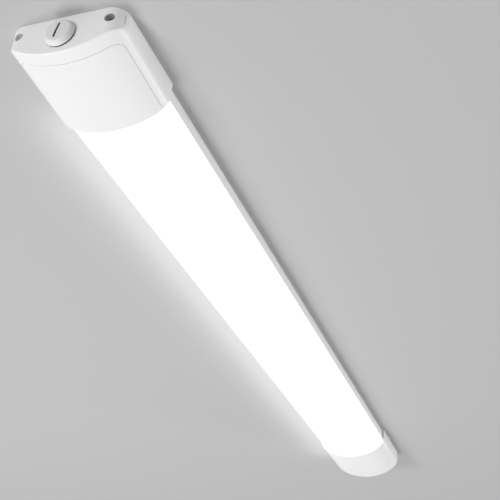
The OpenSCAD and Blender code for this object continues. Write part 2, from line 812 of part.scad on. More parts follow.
module light_board(n) {
    color(board_white) placed() difference() {
        translate([board_x(n), row_y(n) - board_w/2, -board_face_z]) cube([board_l, board_w, board_t]);
        for (i = [0:screws_per_board - 1])
            translate([screw_x(n, i), screw_y(n), -board_face_z - 1]) cylinder(h = board_t + 2, r = 1.4);
    }
}

module chips(n) {
    color([0.97, 0.9, 0.5]) placed() for (i = [0:chips_per_board - 1])
        translate([chip_x(n, i) - chip_l/2, row_y(n) - chip_w/2 - 2, -board_face_z - chip_h])
            cube([chip_l, chip_w, chip_h]);
}

module light_board_a() { light_board(0); }
module light_board_b() { light_board(1); }
module light_board_c() { light_board(2); }
module light_board_d() { light_board(3); }
module chips_a() { chips(0); }
module chips_b() { chips(1); }
module chips_c() { chips(2); }
module chips_d() { chips(3); }

module board_screws() {
    color(steel) placed() for (n = [0:3], i = [0:screws_per_board - 1])
        translate([screw_x(n, i), screw_y(n), -board_face_z]) union() {
            translate([0, 0, -1.4]) cylinder(h = 1.4, r = 2.3);
            translate([0, 0, -0.2]) cylinder(h = board_t + tray_t + 0.2, r = 1.3);
        }
}

module board_connectors() {
    color([0.94, 0.94, 0.92]) placed() {
        for (s = [-1, 1]) translate([board_x(1) - board_gap - 5, s*board_y + 1, -board_face_z - 3])
            cube([board_gap + 10, 5, 3]);
        for (s = [-1, 1]) translate([driver_x1 + 20, s*board_y - s*4 - 3, -board_face_z - 3])
            cube([9, 4, 3]);
    }
}

// Driver case: open sheet trough on the tray's hidden side, with an ear at each end
module driver_case() {
    color(steel) placed() difference() {
        union() {
            difference() {
                translate([driver_x0, -driver_w/2, -driver_low_z])
                    cube([driver_l, driver_w, driver_h - driver_sheet]);
                translate([driver_x0, -driver_w/2, -driver_low_z] + driver_sheet*[1, 1, 1])
                    cube([driver_l - 2*driver_sheet, driver_w - 2*driver_sheet, driver_h]);
            }
            translate([driver_x0 - driver_ear, -ear_w/2, -driver_low_z])
                cube([driver_l + 2*driver_ear, ear_w, driver_sheet]);
        }
        translate([driver_x0 - 1, -9, driver_in_z - 2.4]) cube([driver_sheet + 2, 12.6, 4.8]);
        translate([driver_x1 - 2, -6.5, driver_in_z - 2.4]) cube([driver_sheet + 3, 13, 4.8]);
        fix_holes(driver_low_z);
    }
}

module driver_lid() {
    color(steel) placed() difference() {
        translate([driver_x0 - 0.9, -driver_w/2 - 0.9, -driver_top_z - 4])
            cube([driver_l + 1.8, driver_w + 1.8, 4 + driver_sheet]);
        translate([driver_x0 - 0.1, -driver_w/2 - 0.1, -driver_top_z - 5])
            cube([driver_l + 0.2, driver_w + 0.2, 5 - driver_sheet]);
    }
}

module driver_board() {
    color([0.2, 0.45, 0.25]) placed() union() {
        translate([driver_x0 + 3, -driver_w/2 + 2, -pcb_z]) cube([driver_l - 6, driver_w - 4, pcb_t]);
        for (x = [driver_x0 + 8, driver_x1 - 12], s = [-1, 1])
            translate([x, s*(driver_w/2 - 6) - 2, -driver_low_z + driver_sheet]) cube([4, 4, leg_h + 0.5]);
    }
}

// Places along the driver's board: choke, input capacitors, transformer, heat sink, output capacitors
pcb_t = 1.4;
choke_hole_r = 3.6;
room_in = 23.4;
room_out = 32;
inner_l = [2*choke_r, cap_in_l, coil_l, sink_l, cap_out_l];
function total(v, n) = n > 0 ? v[n - 1] + total(v, n - 1) : 0;
inner_gap = (driver_l - room_in - room_out - total(inner_l, 5))/4;
function inner_x(n) = driver_x0 + room_in + total(inner_l, n) + n*inner_gap;

module on_board(n) {
    placed() translate([inner_x(n), 0, -pcb_z + pcb_t]) children();
}

module driver_choke() {
    color([0.6, 0.35, 0.15]) on_board(0) translate([choke_r, 0, 0])
        rotate_extrude() translate([choke_hole_r, 0]) square([choke_r - choke_hole_r, choke_h]);
}

module driver_capacitors() {
    color([0.2, 0.22, 0.4]) {
        on_board(1) for (s = [-1, 1]) rod_x(0, cap_in_l, cap_in_r, s*(cap_in_r + 3), cap_in_r);
        on_board(4) for (i = [-1:1]) rod_x(0, cap_out_l, cap_out_r, i*(2*cap_out_r + 3), cap_out_r);
    }
}

module driver_transformer() {
    flange = 3;
    color([0.85, 0.7, 0.2]) on_board(2) union() {
        translate([0, -coil_w/2, 0]) cube([coil_l, coil_w, 2]);
        translate([flange, -coil_w/2 + 1, 2]) cube([coil_l - 2*flange, coil_w - 2, 6]);
    }
}

module driver_heat_sink() {
    fins = 5;
    fin_t = 1.2;
    color(steel) on_board(3) translate([0, -12, 0]) union() {
        cube([sink_l, 1.6, sink_h]);
        for (i = [0:fins - 1]) translate([i*(sink_l - fin_t)/(fins - 1), 0, 0]) cube([fin_t, 7, sink_h]);
    }
}

module driver_screws() {
    color(steel) placed() for (p = driver_fix) translate([p[0], p[1], 0]) union() {
        translate([0, 0, -tag_z]) cylinder(h = 1.8, r = fix_head_r);
        translate([0, 0, -tray_face_z]) cylinder(h = tray_face_z - tag_z + 0.1, r = fix_screw_r);
    }
}

// Output leads: out of the driver and along its end to the board connectors
module positive_lead() {
    color([0.75, 0.15, 0.12]) placed() lead([driver_x1 - 4, 3.5, driver_in_z],
        [driver_x1 + 26, 3.5, -(driver_low_z - lead_r - 0.1)], 6, 6);
}

module negative_lead() {
    color([0.12, 0.12, 0.13]) placed() lead([driver_x1 - 4, -3.5, driver_in_z],
        [driver_x1 + 26, -3.5, -(driver_low_z - lead_r - 0.1)], 6, 6);
}

// The closed cap's section, sunk by an inset
module cap_section(inset = 0, top = 0) {
    d_section(end_half - inset, box_dome_h + shoulder_drop - inset, box_dome_exp, strip_z, top);
}

module cap_outer() {
    x0 = overall_len - cap_len;
    along_x(x0, cap_len - cap_edge) cap_section();
    hull() {
        along_x(overall_len - cap_edge - eps, eps) cap_section();
        along_x(overall_len - 0.3*cap_edge, eps) cap_section(0.3*cap_edge, -0.1);
        along_x(overall_len - eps, eps) cap_section(cap_edge, -0.4*cap_edge);
    }
}

// Keyhole outline: round entry, narrow neck towards the end
module key_outline() {
    circle(r = key_entry_r);
    translate([0, -key_neck_r]) square([key_travel, 2*key_neck_r]);
    translate([key_travel, 0]) circle(r = key_neck_r);
}

key_pocket_l = key_travel + 2*key_entry_r + 4;
key_pocket_w = 2*key_entry_r + 4;

core_x0 = cap_bulkhead_x + bulkhead_t + 6;
core_w = 22;
core_y = key_pocket_w/2 + key_wall + 4 + core_w/2;

module key_pocket(grow) {
    translate([key_neck_x - key_travel - key_entry_r - 2 - grow, -key_pocket_w/2 - grow,
        -back_t - key_depth - grow])
        cube([key_pocket_l + 2*grow, key_pocket_w + 2*grow, key_depth + grow + 0.5]);
}

module end_cap() {
    color(white_plastic) placed() difference() {
        union() {
            difference() {
                cap_outer();
                body_solid(overall_len - cap_len - 1, cap_bulkhead_x - overall_len + cap_len + 1, body_gap);
                along_x(cap_bulkhead_x + bulkhead_t, overall_len - end_t - cap_bulkhead_x - bulkhead_t)
                    cap_section(shell_t, -back_t);
            }
            intersection() {
                screw_tunnels(cap_bulkhead_x + 1, overall_len - cap_bulkhead_x - 2, end_bore_r + tunnel_wall);
                along_x(cap_bulkhead_x, cap_len) cap_section(shell_t/2, -back_t/2);
            }
            key_pocket(key_wall);
        }
        difference() {
            key_pocket(0);
            translate([-reach, -reach, -back_t]) cube([2*overall_len, 2*reach, back_t + 1]);
        }
        translate([key_neck_x - key_travel, 0, -back_t - 1]) linear_extrude(back_t + 2) key_outline();
        // core windows of the mould, one on each side of the keyhole
        for (s = [-1, 1]) translate([core_x0, s*core_y - core_w/2, -back_t - 1])
            cube([overall_len - end_t - 10 - core_x0, core_w, back_t + 2]);
        screw_tunnels(cap_bulkhead_x + seat_t, reach, end_bore_r);
        screw_tunnels(cap_bulkhead_x - 1, reach, end_screw_r + screw_clear);
    }
}

wiring_box();
wiring_cover();
cover_seal();
conduit_plug();
plug_seal();
cable_grommet();
terminal_block();
terminal_contacts();
terminal_screws();
line_button();
neutral_button();
earth_button();
line_lead();
neutral_lead();
earth_lead();
lead_seal();
earth_screw();
earth_tag();
near_end_seal();
near_end_screws();
base_channel();
diffuser();
led_tray();
light_board_a();
light_board_b();
light_board_c();
light_board_d();
chips_a();
chips_b();
chips_c();
chips_d();
board_screws();
board_connectors();
driver_case();
driver_lid();
driver_board();
driver_transformer();
driver_capacitors();
driver_choke();
driver_heat_sink();
driver_screws();
positive_lead();
negative_lead();
far_end_seal();
far_end_screws();
end_cap();
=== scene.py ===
import math

import bmesh
import bpy
from bpy.props import FloatProperty, FloatVectorProperty, PointerProperty
from bpy.types import Operator, Panel, PropertyGroup
from mathutils import Matrix, Vector


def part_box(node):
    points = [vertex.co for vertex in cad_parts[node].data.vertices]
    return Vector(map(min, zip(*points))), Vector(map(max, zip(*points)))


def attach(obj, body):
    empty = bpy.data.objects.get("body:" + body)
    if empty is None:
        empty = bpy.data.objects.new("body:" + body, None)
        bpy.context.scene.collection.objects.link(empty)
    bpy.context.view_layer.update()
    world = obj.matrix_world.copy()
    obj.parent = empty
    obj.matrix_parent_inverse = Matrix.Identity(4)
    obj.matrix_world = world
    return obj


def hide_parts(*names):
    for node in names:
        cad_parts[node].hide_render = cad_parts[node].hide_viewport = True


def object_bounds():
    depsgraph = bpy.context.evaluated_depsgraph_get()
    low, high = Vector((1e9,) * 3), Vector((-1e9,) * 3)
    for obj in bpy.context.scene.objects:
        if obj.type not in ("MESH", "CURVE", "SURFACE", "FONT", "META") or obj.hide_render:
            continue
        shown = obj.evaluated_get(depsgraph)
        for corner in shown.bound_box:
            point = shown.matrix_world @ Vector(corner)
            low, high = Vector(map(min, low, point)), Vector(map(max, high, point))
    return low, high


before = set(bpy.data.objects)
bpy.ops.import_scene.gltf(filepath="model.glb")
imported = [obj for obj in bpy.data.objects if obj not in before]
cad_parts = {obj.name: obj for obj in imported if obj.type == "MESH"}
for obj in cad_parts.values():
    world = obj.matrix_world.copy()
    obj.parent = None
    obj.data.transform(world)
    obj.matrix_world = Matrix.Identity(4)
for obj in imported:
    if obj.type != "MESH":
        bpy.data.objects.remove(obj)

bl_info = {
    "name": "Vapor tight light fixture",
    "version": (1, 0, 0),
    "blender": (4, 5, 0),
    "location": "3D View > Sidebar > Fixture",
    "description": "Builds the looks of a sealed ceiling light round its CAD frame",
    "category": "Object",
}

MM = 0.001
CAD_BOX = [list(corner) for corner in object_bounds()]

# Place of the wiring box's end face in metres, where the stations start
END_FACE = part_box("wiring_box")[0].x

# Stations along the fixture in millimetres
BOX_END = (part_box("wiring_box")[1].x - END_FACE) / MM
BODY_START = (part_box("diffuser")[0].x - END_FACE) / MM
BODY_END = (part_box("diffuser")[1].x - END_FACE) / MM
CAP_START = (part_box("end_cap")[0].x - END_FACE) / MM
CAP_END = (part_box("end_cap")[1].x - END_FACE) / MM
REAR_SCREWS = -END_FACE / MM
BULKHEAD = BODY_START - 5.0

# Half widths and depths of the sections in millimetres
BODY_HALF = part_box("diffuser")[1].y / MM
BOX_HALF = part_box("wiring_box")[1].y / MM
STRIP_DEPTH = -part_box("base_channel")[0].z / MM
BACK_INSET = -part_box("base_channel")[1].z / MM
CROWN_DEPTH = -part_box("diffuser")[0].z / MM
DOME_DEPTH = CROWN_DEPTH - STRIP_DEPTH
DOME_POWER = 1.75
BODY_GAP = 0.35
HOUSING_WALL = 2.4

# The wiring box's own dome, which rises towards the diffuser
CROWN_RISE = 4.9
CROWN_SLOPE = CROWN_RISE / BOX_END
BOX_DOME_WIDE = BOX_HALF + 0.45
BOX_DOME_DEPTH = DOME_DEPTH + 2.2
BOX_DOME_POWER = 1.85
BOX_DOME_START = STRIP_DEPTH + 1.1 - CROWN_RISE

# Plan of the wiring box and its cover
CORNER_RADIUS = 16.0
COVER_HALF = BOX_HALF - 6.35
COVER_EDGE = 14.8
COVER_RADIUS = 11.0

# The conduit plug's middle, and the screws that hold the end pieces to the body
PLUG_AT = (0, 0, -22.1)
END_SCREW = (46.5, -12.2)
TUNNEL_RADIUS = 6.3
BORE_RADIUS = 4.7

# Directions along the fixture and from the ceiling into it
ALONG = (1, 0, 0)
INWARD = (0, 0, -1)


class FixtureSizes(PropertyGroup):
    """Small sizes of the fixture's mouldings that change only its looks"""

    edge_radius: FloatProperty(
        name="End edge radius", description="Rounding between the end face and the dome",
        default=1.5 * MM, min=0.2 * MM, max=3 * MM, unit="LENGTH", subtype="DISTANCE")
    seam_radius: FloatProperty(
        name="Seam radius", description="Rounding of the two edges along the cover's seam",
        default=0.3 * MM, min=0.05 * MM, max=0.8 * MM, unit="LENGTH", subtype="DISTANCE")
    seam_gap: FloatProperty(
        name="Seam gap", description="Open gap between the cover and the box",
        default=0.38 * MM, min=0.05 * MM, max=0.6 * MM, unit="LENGTH", subtype="DISTANCE")
    cap_radius: FloatProperty(
        name="Cap edge radius", description="Rounding of the closed cap's end edge",
        default=2.2 * MM, min=0.5 * MM, max=3 * MM, unit="LENGTH", subtype="DISTANCE")
    grain_size: FloatProperty(
        name="Moulding grain", description="Size of the fine grain in the moulded plastic",
        default=0.35 * MM, min=0.05 * MM, max=2 * MM, unit="LENGTH", subtype="DISTANCE")


class FixtureFinishes(PropertyGroup):
    """Colours of the fixture and the strength of its lamp"""

    housing: FloatVectorProperty(
        name="Housing", description="Colour of the moulded end pieces, cover and plug",
        default=(0.86, 0.86, 0.865), size=3, min=0, max=1, subtype="COLOR")
    strip: FloatVectorProperty(
        name="Side strip", description="Colour of the extruded body beside the diffuser",
        default=(0.87, 0.87, 0.875), size=3, min=0, max=1, subtype="COLOR")
    plug: FloatVectorProperty(
        name="Conduit plug", description="Colour of the plug's slightly greyer plastic",
        default=(0.74, 0.74, 0.745), size=3, min=0, max=1, subtype="COLOR")
    opal: FloatVectorProperty(
        name="Diffuser", description="Colour of the opal diffuser",
        default=(0.93, 0.93, 0.93), size=3, min=0, max=1, subtype="COLOR")
    glow: FloatProperty(
        name="Lamp strength", description="Light given by the diffuser when it is lit",
        default=1.0, min=0, max=20)
    rubber: FloatVectorProperty(
        name="Seals", description="Colour of the rubber seals",
        default=(0.045, 0.045, 0.048), size=3, min=0, max=1, subtype="COLOR")


class FixtureStudio(PropertyGroup):
    """Light and backdrop round the fixture"""

    backdrop: FloatVectorProperty(
        name="Backdrop", description="Colour of the ceiling behind the fixture",
        default=(0.5, 0.5, 0.5), size=3, min=0, max=1, subtype="COLOR")
    sky: FloatProperty(
        name="Sky strength", description="Even light from all round", default=0.4, min=0, max=5)
    beyond: FloatProperty(
        name="Beyond the backdrop", description="Grey seen past the backdrop and in reflections",
        default=0.8, min=0, max=1)
    key: FloatProperty(
        name="Key power", description="Large far lamp below the fixture, off to its far side",
        default=48.7, min=0, max=500)
    side: FloatProperty(
        name="Side strength", description="Low distant light on the near side of the fixture",
        default=1.53, min=0, max=20)
    end: FloatProperty(
        name="End strength", description="Distant light on the face with the conduit plug",
        default=1.29, min=0, max=20)
    halo: FloatProperty(
        name="Halo power", description="Long lamp beside the fixture that brightens the ceiling",
        default=0.13, min=0, max=10)
    back: FloatProperty(
        name="Back power", description="Lamp above the ceiling for views of the fixture's back",
        default=12.0, min=0, max=500)


# Shapes


def dome_z(y, wide, deep, power):
    """Height of a dome below its own straight sides, at a distance y from the middle."""
    share = min(abs(y) / wide, 1.0)
    return -deep * (1.0 - share ** power) ** (1.0 / power)


def box_dome_z(u, y, inset=0.0):
    """Surface of the wiring box's sloping dome at a station u, sunk by an inset."""
    curve = dome_z(y, BOX_DOME_WIDE - inset, BOX_DOME_DEPTH - inset, BOX_DOME_POWER)
    slope = math.cos(math.atan(CROWN_SLOPE))
    return -u * CROWN_SLOPE + (curve - BOX_DOME_START) / slope


def plan_rail(half, radius, edge, end=BOX_END):
    """Plan line of the wiring box or its cover: along one side, round the end and back."""
    sides, arc, across = 10, 12, 28
    corner = edge + radius
    points = []
    for i in range(sides):
        points.append((end + (corner - end) * i / sides, half))
    for i in range(arc):
        a = math.radians(90 + 90 * i / arc)
        points.append((corner + radius * math.cos(a), half - radius + radius * math.sin(a)))
    for i in range(across + 1):
        points.append((edge, (half - radius) * (1 - 2 * i / across)))
    for i in range(1, arc + 1):
        a = math.radians(180 + 90 * i / arc)
        points.append((corner + radius * math.cos(a), -half + radius + radius * math.sin(a)))
    for i in range(1, sides + 1):
        points.append((corner + (end - edge - radius) * i / sides, -half))
    return points


def on_dome(plan, inset=0.0, lift=0.0):
    """A plan line laid on the wiring box's dome."""
    return [Vector((u, y, box_dome_z(u, y, inset) + lift)) for u, y in plan]


def at_level(plan, z):
    """A plan line at one height."""
    return [Vector((u, y, z)) for u, y in plan]


def rounded(start, corner, stop, steps):
    """Lines that turn smoothly from start to stop round a corner line, without the two ends."""
    lines = []
    for k in range(1, steps):
        t = k / steps
        lines.append([a * (1 - t) ** 2 + b * (2 * t * (1 - t)) + c * t ** 2
                      for a, b, c in zip(start, corner, stop)])
    return lines


def dome_arc(half, deep, power, start, steps):
    """Dome outline of a section as (y, z) points, from one side over the crown to the other."""
    points = []
    for i in range(steps + 1):
        a = math.pi * i / steps
        c, s = math.cos(a), math.sin(a)
        points.append((math.copysign(half * abs(c) ** (2 / power), c), -start - deep * s ** (2 / power)))
    return points


def d_loop(half, deep, power, start, top, corner=0.0):
    """Closed section of the body or cap: dome below, straight sides and a flat back."""
    dome_steps, corner_steps = 72, 4
    back = []
    for i in range(corner_steps + 1):
        a = math.pi + math.pi / 2 * i / corner_steps
        back.append((-half + corner * (1 + math.cos(a)), top - corner * (1 + math.sin(a))))
    dome = dome_arc(half, deep, power, start, dome_steps)
    return dome + back + [(-y, z) for y, z in reversed(back)]


def at_station(section, u):
    """A (y, z) section stood up at a station u."""
    return [Vector((u, y, z)) for y, z in section]


def loft(lines, closed=False):
    """A surface drawn through lines of equal count, with flat faces over its ends."""
    bm = bmesh.new()
    verts = [bm.verts.new(p) for p in lines[0]]
    edges = [bm.edges.new(pair) for pair in zip(verts, verts[1:])]
    if closed:
        edges.append(bm.edges.new((verts[-1], verts[0])))
    first = list(verts)
    for line in lines[1:]:
        made = bmesh.ops.extrude_edge_only(bm, edges=edges)["geom"]
        edges = [g for g in made if isinstance(g, bmesh.types.BMEdge) and len(g.link_faces) == 1
                 and all(v not in verts for v in g.verts)]
        pairs = {}
        for v in verts:
            for e in v.link_edges:
                other = e.other_vert(v)
                if other not in verts and any(other in g.verts for g in edges):
                    pairs[v] = other
        verts = [pairs[v] for v in verts]
        for v, p in zip(verts, line):
            v.co = p
    bm.faces.new(first)
    bm.faces.new(list(reversed(verts)))
    if not closed:
        bmesh.ops.holes_fill(bm, edges=[e for e in bm.edges if e.is_boundary], sides=0)
    bmesh.ops.recalc_face_normals(bm, faces=bm.faces)
    return bm


def turned(profile, centre, axis, steps=48):
    """A solid turned from (radius, distance) points round an axis through a centre."""
    bm = bmesh.new()
    axis = Vector(axis).normalized()
    side = axis.orthogonal().normalized()
    centre = Vector(centre)
    verts = [bm.verts.new(centre + side * r + axis * d) for r, d in profile]
    edges = [bm.edges.new(pair) for pair in zip(verts, verts[1:])]
    if profile[0][0] > 1e-6:
        edges.append(bm.edges.new((verts[-1], verts[0])))
    bmesh.ops.spin(bm, geom=verts + edges, cent=centre, axis=axis, angle=2 * math.pi,
                   steps=steps, use_merge=True)
    bmesh.ops.remove_doubles(bm, verts=bm.verts, dist=1e-5)
    bmesh.ops.recalc_face_normals(bm, faces=bm.faces)
    return bm


def drum(radius, near, far, centre, axis, steps=48):
    """A plain round solid between two distances along an axis."""
    return turned([(0, near), (radius, near), (radius, far), (0, far)], centre, axis, steps)


def flared(radius, flare, soft, ahead, depth, centre, axis, steps):
    """A round hole's solid with a softened mouth, from ahead of the face down to a depth."""
    return turned([(0, -ahead), (flare, -ahead), (flare, 0), (radius, soft), (radius, depth), (0, depth)],
                  centre, axis, steps)


def thread(root, crest, pitch, turns, start, axis):
    """A right-hand screw thread's ridge, wound round an axis from a start point."""
    steps = 36
    bm = bmesh.new()
    axis = Vector(axis).normalized()
    side = axis.orthogonal().normalized()
    start = Vector(start)
    shape = ((root, 0), (crest, 0.36 * pitch), (crest, 0.46 * pitch), (root, 0.82 * pitch))
    verts = [bm.verts.new(start + side * r + axis * d) for r, d in shape]
    edges = [bm.edges.new((verts[i - 1], verts[i])) for i in range(4)]
    bmesh.ops.spin(bm, geom=verts + edges, cent=start, axis=axis, angle=2 * math.pi * turns,
                   steps=int(steps * turns), dvec=axis * pitch / steps)
    bmesh.ops.holes_fill(bm, edges=[e for e in bm.edges if e.is_boundary], sides=0)
    bmesh.ops.recalc_face_normals(bm, faces=bm.faces)
    return bm


def block(low, high, radius=0.0, segments=3):
    """A block between two corners with its edges rounded."""
    low, high = Vector(low), Vector(high)
    bm = bmesh.new()
    size = high - low
    bmesh.ops.create_cube(bm, size=1.0, matrix=Matrix.Translation((low + high) / 2)
                          @ Matrix.Diagonal((size.x, size.y, size.z, 1)))
    if radius:
        bmesh.ops.bevel(bm, geom=bm.edges[:], offset=radius, segments=segments, affect="EDGES",
                        profile=0.5, material=-1)
    return bm


def together(*meshes):
    """Several solids as one mesh."""
    whole = bmesh.new()
    for part in meshes:
        mesh = bpy.data.meshes.new("part")
        part.to_mesh(mesh)
        part.free()
        whole.from_mesh(mesh)
        bpy.data.meshes.remove(mesh)
    return whole


def combined(solid, steps):
    """Cuts a solid with others or joins them to it, in order, and returns the new solid."""
    scene = bpy.context.scene
    objects = []
    for bm in [solid] + [tool for _, tool in steps]:
        mesh = bpy.data.meshes.new("tool")
        bm.to_mesh(mesh)
        bm.free()
        ob = bpy.data.objects.new("tool", mesh)
        scene.collection.objects.link(ob)
        objects.append(ob)
    for (kind, _), ob in zip(steps, objects[1:]):
        mod = objects[0].modifiers.new(kind, "BOOLEAN")
        mod.operation, mod.solver, mod.object = kind, "EXACT", ob
    bpy.context.view_layer.update()
    graph = bpy.context.evaluated_depsgraph_get()
    result = bmesh.new()
    result.from_mesh(bpy.data.meshes.new_from_object(objects[0].evaluated_get(graph)))
    for ob in objects:
        mesh = ob.data
        bpy.data.objects.remove(ob)
        bpy.data.meshes.remove(mesh)
    bmesh.ops.remove_doubles(result, verts=result.verts, dist=1e-4)
    bmesh.ops.dissolve_degenerate(result, edges=result.edges, dist=1e-4)
    return result


def make_piece(name, bm, body, nodes, material, sharp=38.0):
    """Takes a solid from millimetres into the shared frame, as a piece that stands for CAD nodes."""
    bmesh.ops.transform(bm, verts=bm.verts,
                        matrix=Matrix.Translation((END_FACE, 0, 0)) @ Matrix.Scale(MM, 4))
    limit = math.radians(sharp)
    for f in bm.faces:
        f.smooth = True
    for e in bm.edges:
        e.smooth = e.calc_face_angle(0.0) < limit
    mesh = bpy.data.meshes.new(name)
    bm.to_mesh(mesh)
    bm.free()
    ob = bpy.data.objects.new(name, mesh)
    bpy.context.scene.collection.objects.link(ob)
    mesh.materials.append(material)
    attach(ob, body)
    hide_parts(*nodes)
    return ob


# Materials


def shader_group(name, inputs, outputs, build):
    """A node group built once, with named inputs and outputs."""
    group = bpy.data.node_groups.get(name)
    if group:
        return group
    group = bpy.data.node_groups.new(name, "ShaderNodeTree")
    for label, kind, value in inputs:
        socket = group.interface.new_socket(label, in_out="INPUT", socket_type=kind)
        socket.default_value = value
    for label, kind in outputs:
        group.interface.new_socket(label, in_out="OUTPUT", socket_type=kind)
    build(group.nodes, group.links, group.nodes.new("NodeGroupInput"), group.nodes.new("NodeGroupOutput"))
    return group


def build_moulded(nodes, links, source, sink):
    """Fine grain, slow waviness and a faint tint of a moulded or extruded surface."""
    place = nodes.new("ShaderNodeTexCoord")
    stretch = nodes.new("ShaderNodeMapping")
    links.new(place.outputs["Object"], stretch.inputs["Vector"])
    links.new(source.outputs["Stretch"], stretch.inputs["Scale"])
    grain = nodes.new("ShaderNodeTexNoise")
    grain.inputs["Detail"].default_value = 3.0
    links.new(stretch.outputs["Vector"], grain.inputs["Vector"])
    links.new(source.outputs["Grain"], grain.inputs["Scale"])
    wave = nodes.new("ShaderNodeTexNoise")
    wave.inputs["Scale"].default_value = 28.0
    wave.inputs["Detail"].default_value = 2.0
    links.new(stretch.outputs["Vector"], wave.inputs["Vector"])
    tint = nodes.new("ShaderNodeMix")
    tint.data_type, tint.blend_type = "RGBA", "MULTIPLY"
    tone = nodes.new("ShaderNodeMapRange")
    tone.inputs["To Min"].default_value = 0.965
    tone.inputs["To Max"].default_value = 1.0
    links.new(wave.outputs["Fac"], tone.inputs["Value"])
    links.new(source.outputs["Mottle"], tint.inputs["Factor"])
    links.new(source.outputs["Color"], tint.inputs["A"])
    links.new(tone.outputs["Result"], tint.inputs["B"])
    links.new(tint.outputs["Result"], sink.inputs["Color"])
    rough = nodes.new("ShaderNodeMapRange")
    links.new(grain.outputs["Fac"], rough.inputs["Value"])
    links.new(source.outputs["Rough Min"], rough.inputs["To Min"])
    links.new(source.outputs["Rough Max"], rough.inputs["To Max"])
    links.new(rough.outputs["Result"], sink.inputs["Roughness"])
    links.new(grain.outputs["Fac"], sink.inputs["Height"])


MOULDED_INPUTS = [
    ("Color", "NodeSocketColor", (0.8, 0.8, 0.8, 1)), ("Grain", "NodeSocketFloat", 2500.0),
    ("Stretch", "NodeSocketVector", (1, 1, 1)), ("Mottle", "NodeSocketFloat", 0.6),
    ("Rough Min", "NodeSocketFloat", 0.36), ("Rough Max", "NodeSocketFloat", 0.48)]
MOULDED_OUTPUTS = [("Color", "NodeSocketColor"), ("Roughness", "NodeSocketFloat"),
                   ("Height", "NodeSocketFloat")]


def surface(name, color, grain=None, stretch=(1, 1, 1), mottle=0.6, rough=(0.36, 0.48), bump=0.05,
            metallic=0.0, specular=0.5, glow=0.0):
    """A material with the moulded-surface group feeding a Principled shader."""
    found = bpy.data.materials.get(name)
    if found:
        return found
    mat = bpy.data.materials.new(name)
    mat.use_nodes = True
    nodes, links = mat.node_tree.nodes, mat.node_tree.links
    shader = nodes["Principled BSDF"]
    skin = nodes.new("ShaderNodeGroup")
    skin.node_tree = shader_group("Moulded surface", MOULDED_INPUTS, MOULDED_OUTPUTS, build_moulded)
    skin.inputs["Color"].default_value = (*color, 1)
    grain = grain or 1.0 / bpy.context.scene.fixture_sizes.grain_size
    skin.inputs["Grain"].default_value = grain
    skin.inputs["Stretch"].default_value = stretch
    skin.inputs["Mottle"].default_value = mottle
    skin.inputs["Rough Min"].default_value, skin.inputs["Rough Max"].default_value = rough
    relief = nodes.new("ShaderNodeBump")
    relief.inputs["Strength"].default_value = bump
    relief.inputs["Distance"].default_value = 0.4 / grain
    links.new(skin.outputs["Color"], shader.inputs["Base Color"])
    links.new(skin.outputs["Roughness"], shader.inputs["Roughness"])
    links.new(skin.outputs["Height"], relief.inputs["Height"])
    links.new(relief.outputs["Normal"], shader.inputs["Normal"])
    shader.inputs["Metallic"].default_value = metallic
    shader.inputs["Specular IOR Level"].default_value = specular
    if glow:
        shader.inputs["Emission Color"].default_value = (1, 1, 1, 1)
        shader.inputs["Emission Strength"].default_value = glow
    return mat


def housing():
    """White moulded plastic of the end pieces."""
    return surface("Housing plastic", bpy.context.scene.fixture_finishes.housing, rough=(0.4, 0.5))


def rubber():
    """Dark rubber of the seals."""
    return surface("Seal rubber", bpy.context.scene.fixture_finishes.rubber, grain=900, mottle=1.0,
                   rough=(0.7, 0.88), bump=0.2, specular=0.3)


def brushed(name, color):
    """Drawn or plated metal."""
    return surface(name, color, metallic=1.0, rough=(0.25, 0.42), bump=0.1)


def screw_zinc():
    """Zinc plating of the small screws."""
    return brushed("Screw zinc", (0.6, 0.61, 0.63))


def insulation(tint, color):
    """Coloured plastic of a lead."""
    return surface(tint + " insulation", color, rough=(0.3, 0.4))


# Pieces


def shade(ob, name, tone, inside):
    """Paints shade into a hole or slot: the faces whose centre lies inside it get a darker grey that stands
    for the shade there.
    """
    ob.data.materials.append(surface(name, (tone, tone, tone + 0.005), rough=(0.6, 0.7)))
    for f in ob.data.polygons:
        if inside(f.center / MM + Vector((REAR_SCREWS, 0, 0))):
            f.material_index = len(ob.data.materials) - 1


def box_space():
    """The hollow of the wiring box, between its end wall and the bulkhead."""
    end_wall, back_wall, front_wall, ring_step = 3.6, 3.0, 5.5, 4
    radius = CORNER_RADIUS - HOUSING_WALL
    plan = plan_rail(BOX_HALF - HOUSING_WALL, radius, end_wall, end=BULKHEAD)
    lines = [at_level(plan, -back_wall), on_dome(plan, front_wall)]
    for half in range(54, 0, -ring_step):
        ring = plan_rail(half, min(radius, half * 0.9), end_wall, end=BULKHEAD)
        lines.append(on_dome(ring, front_wall))
    return loft(lines)


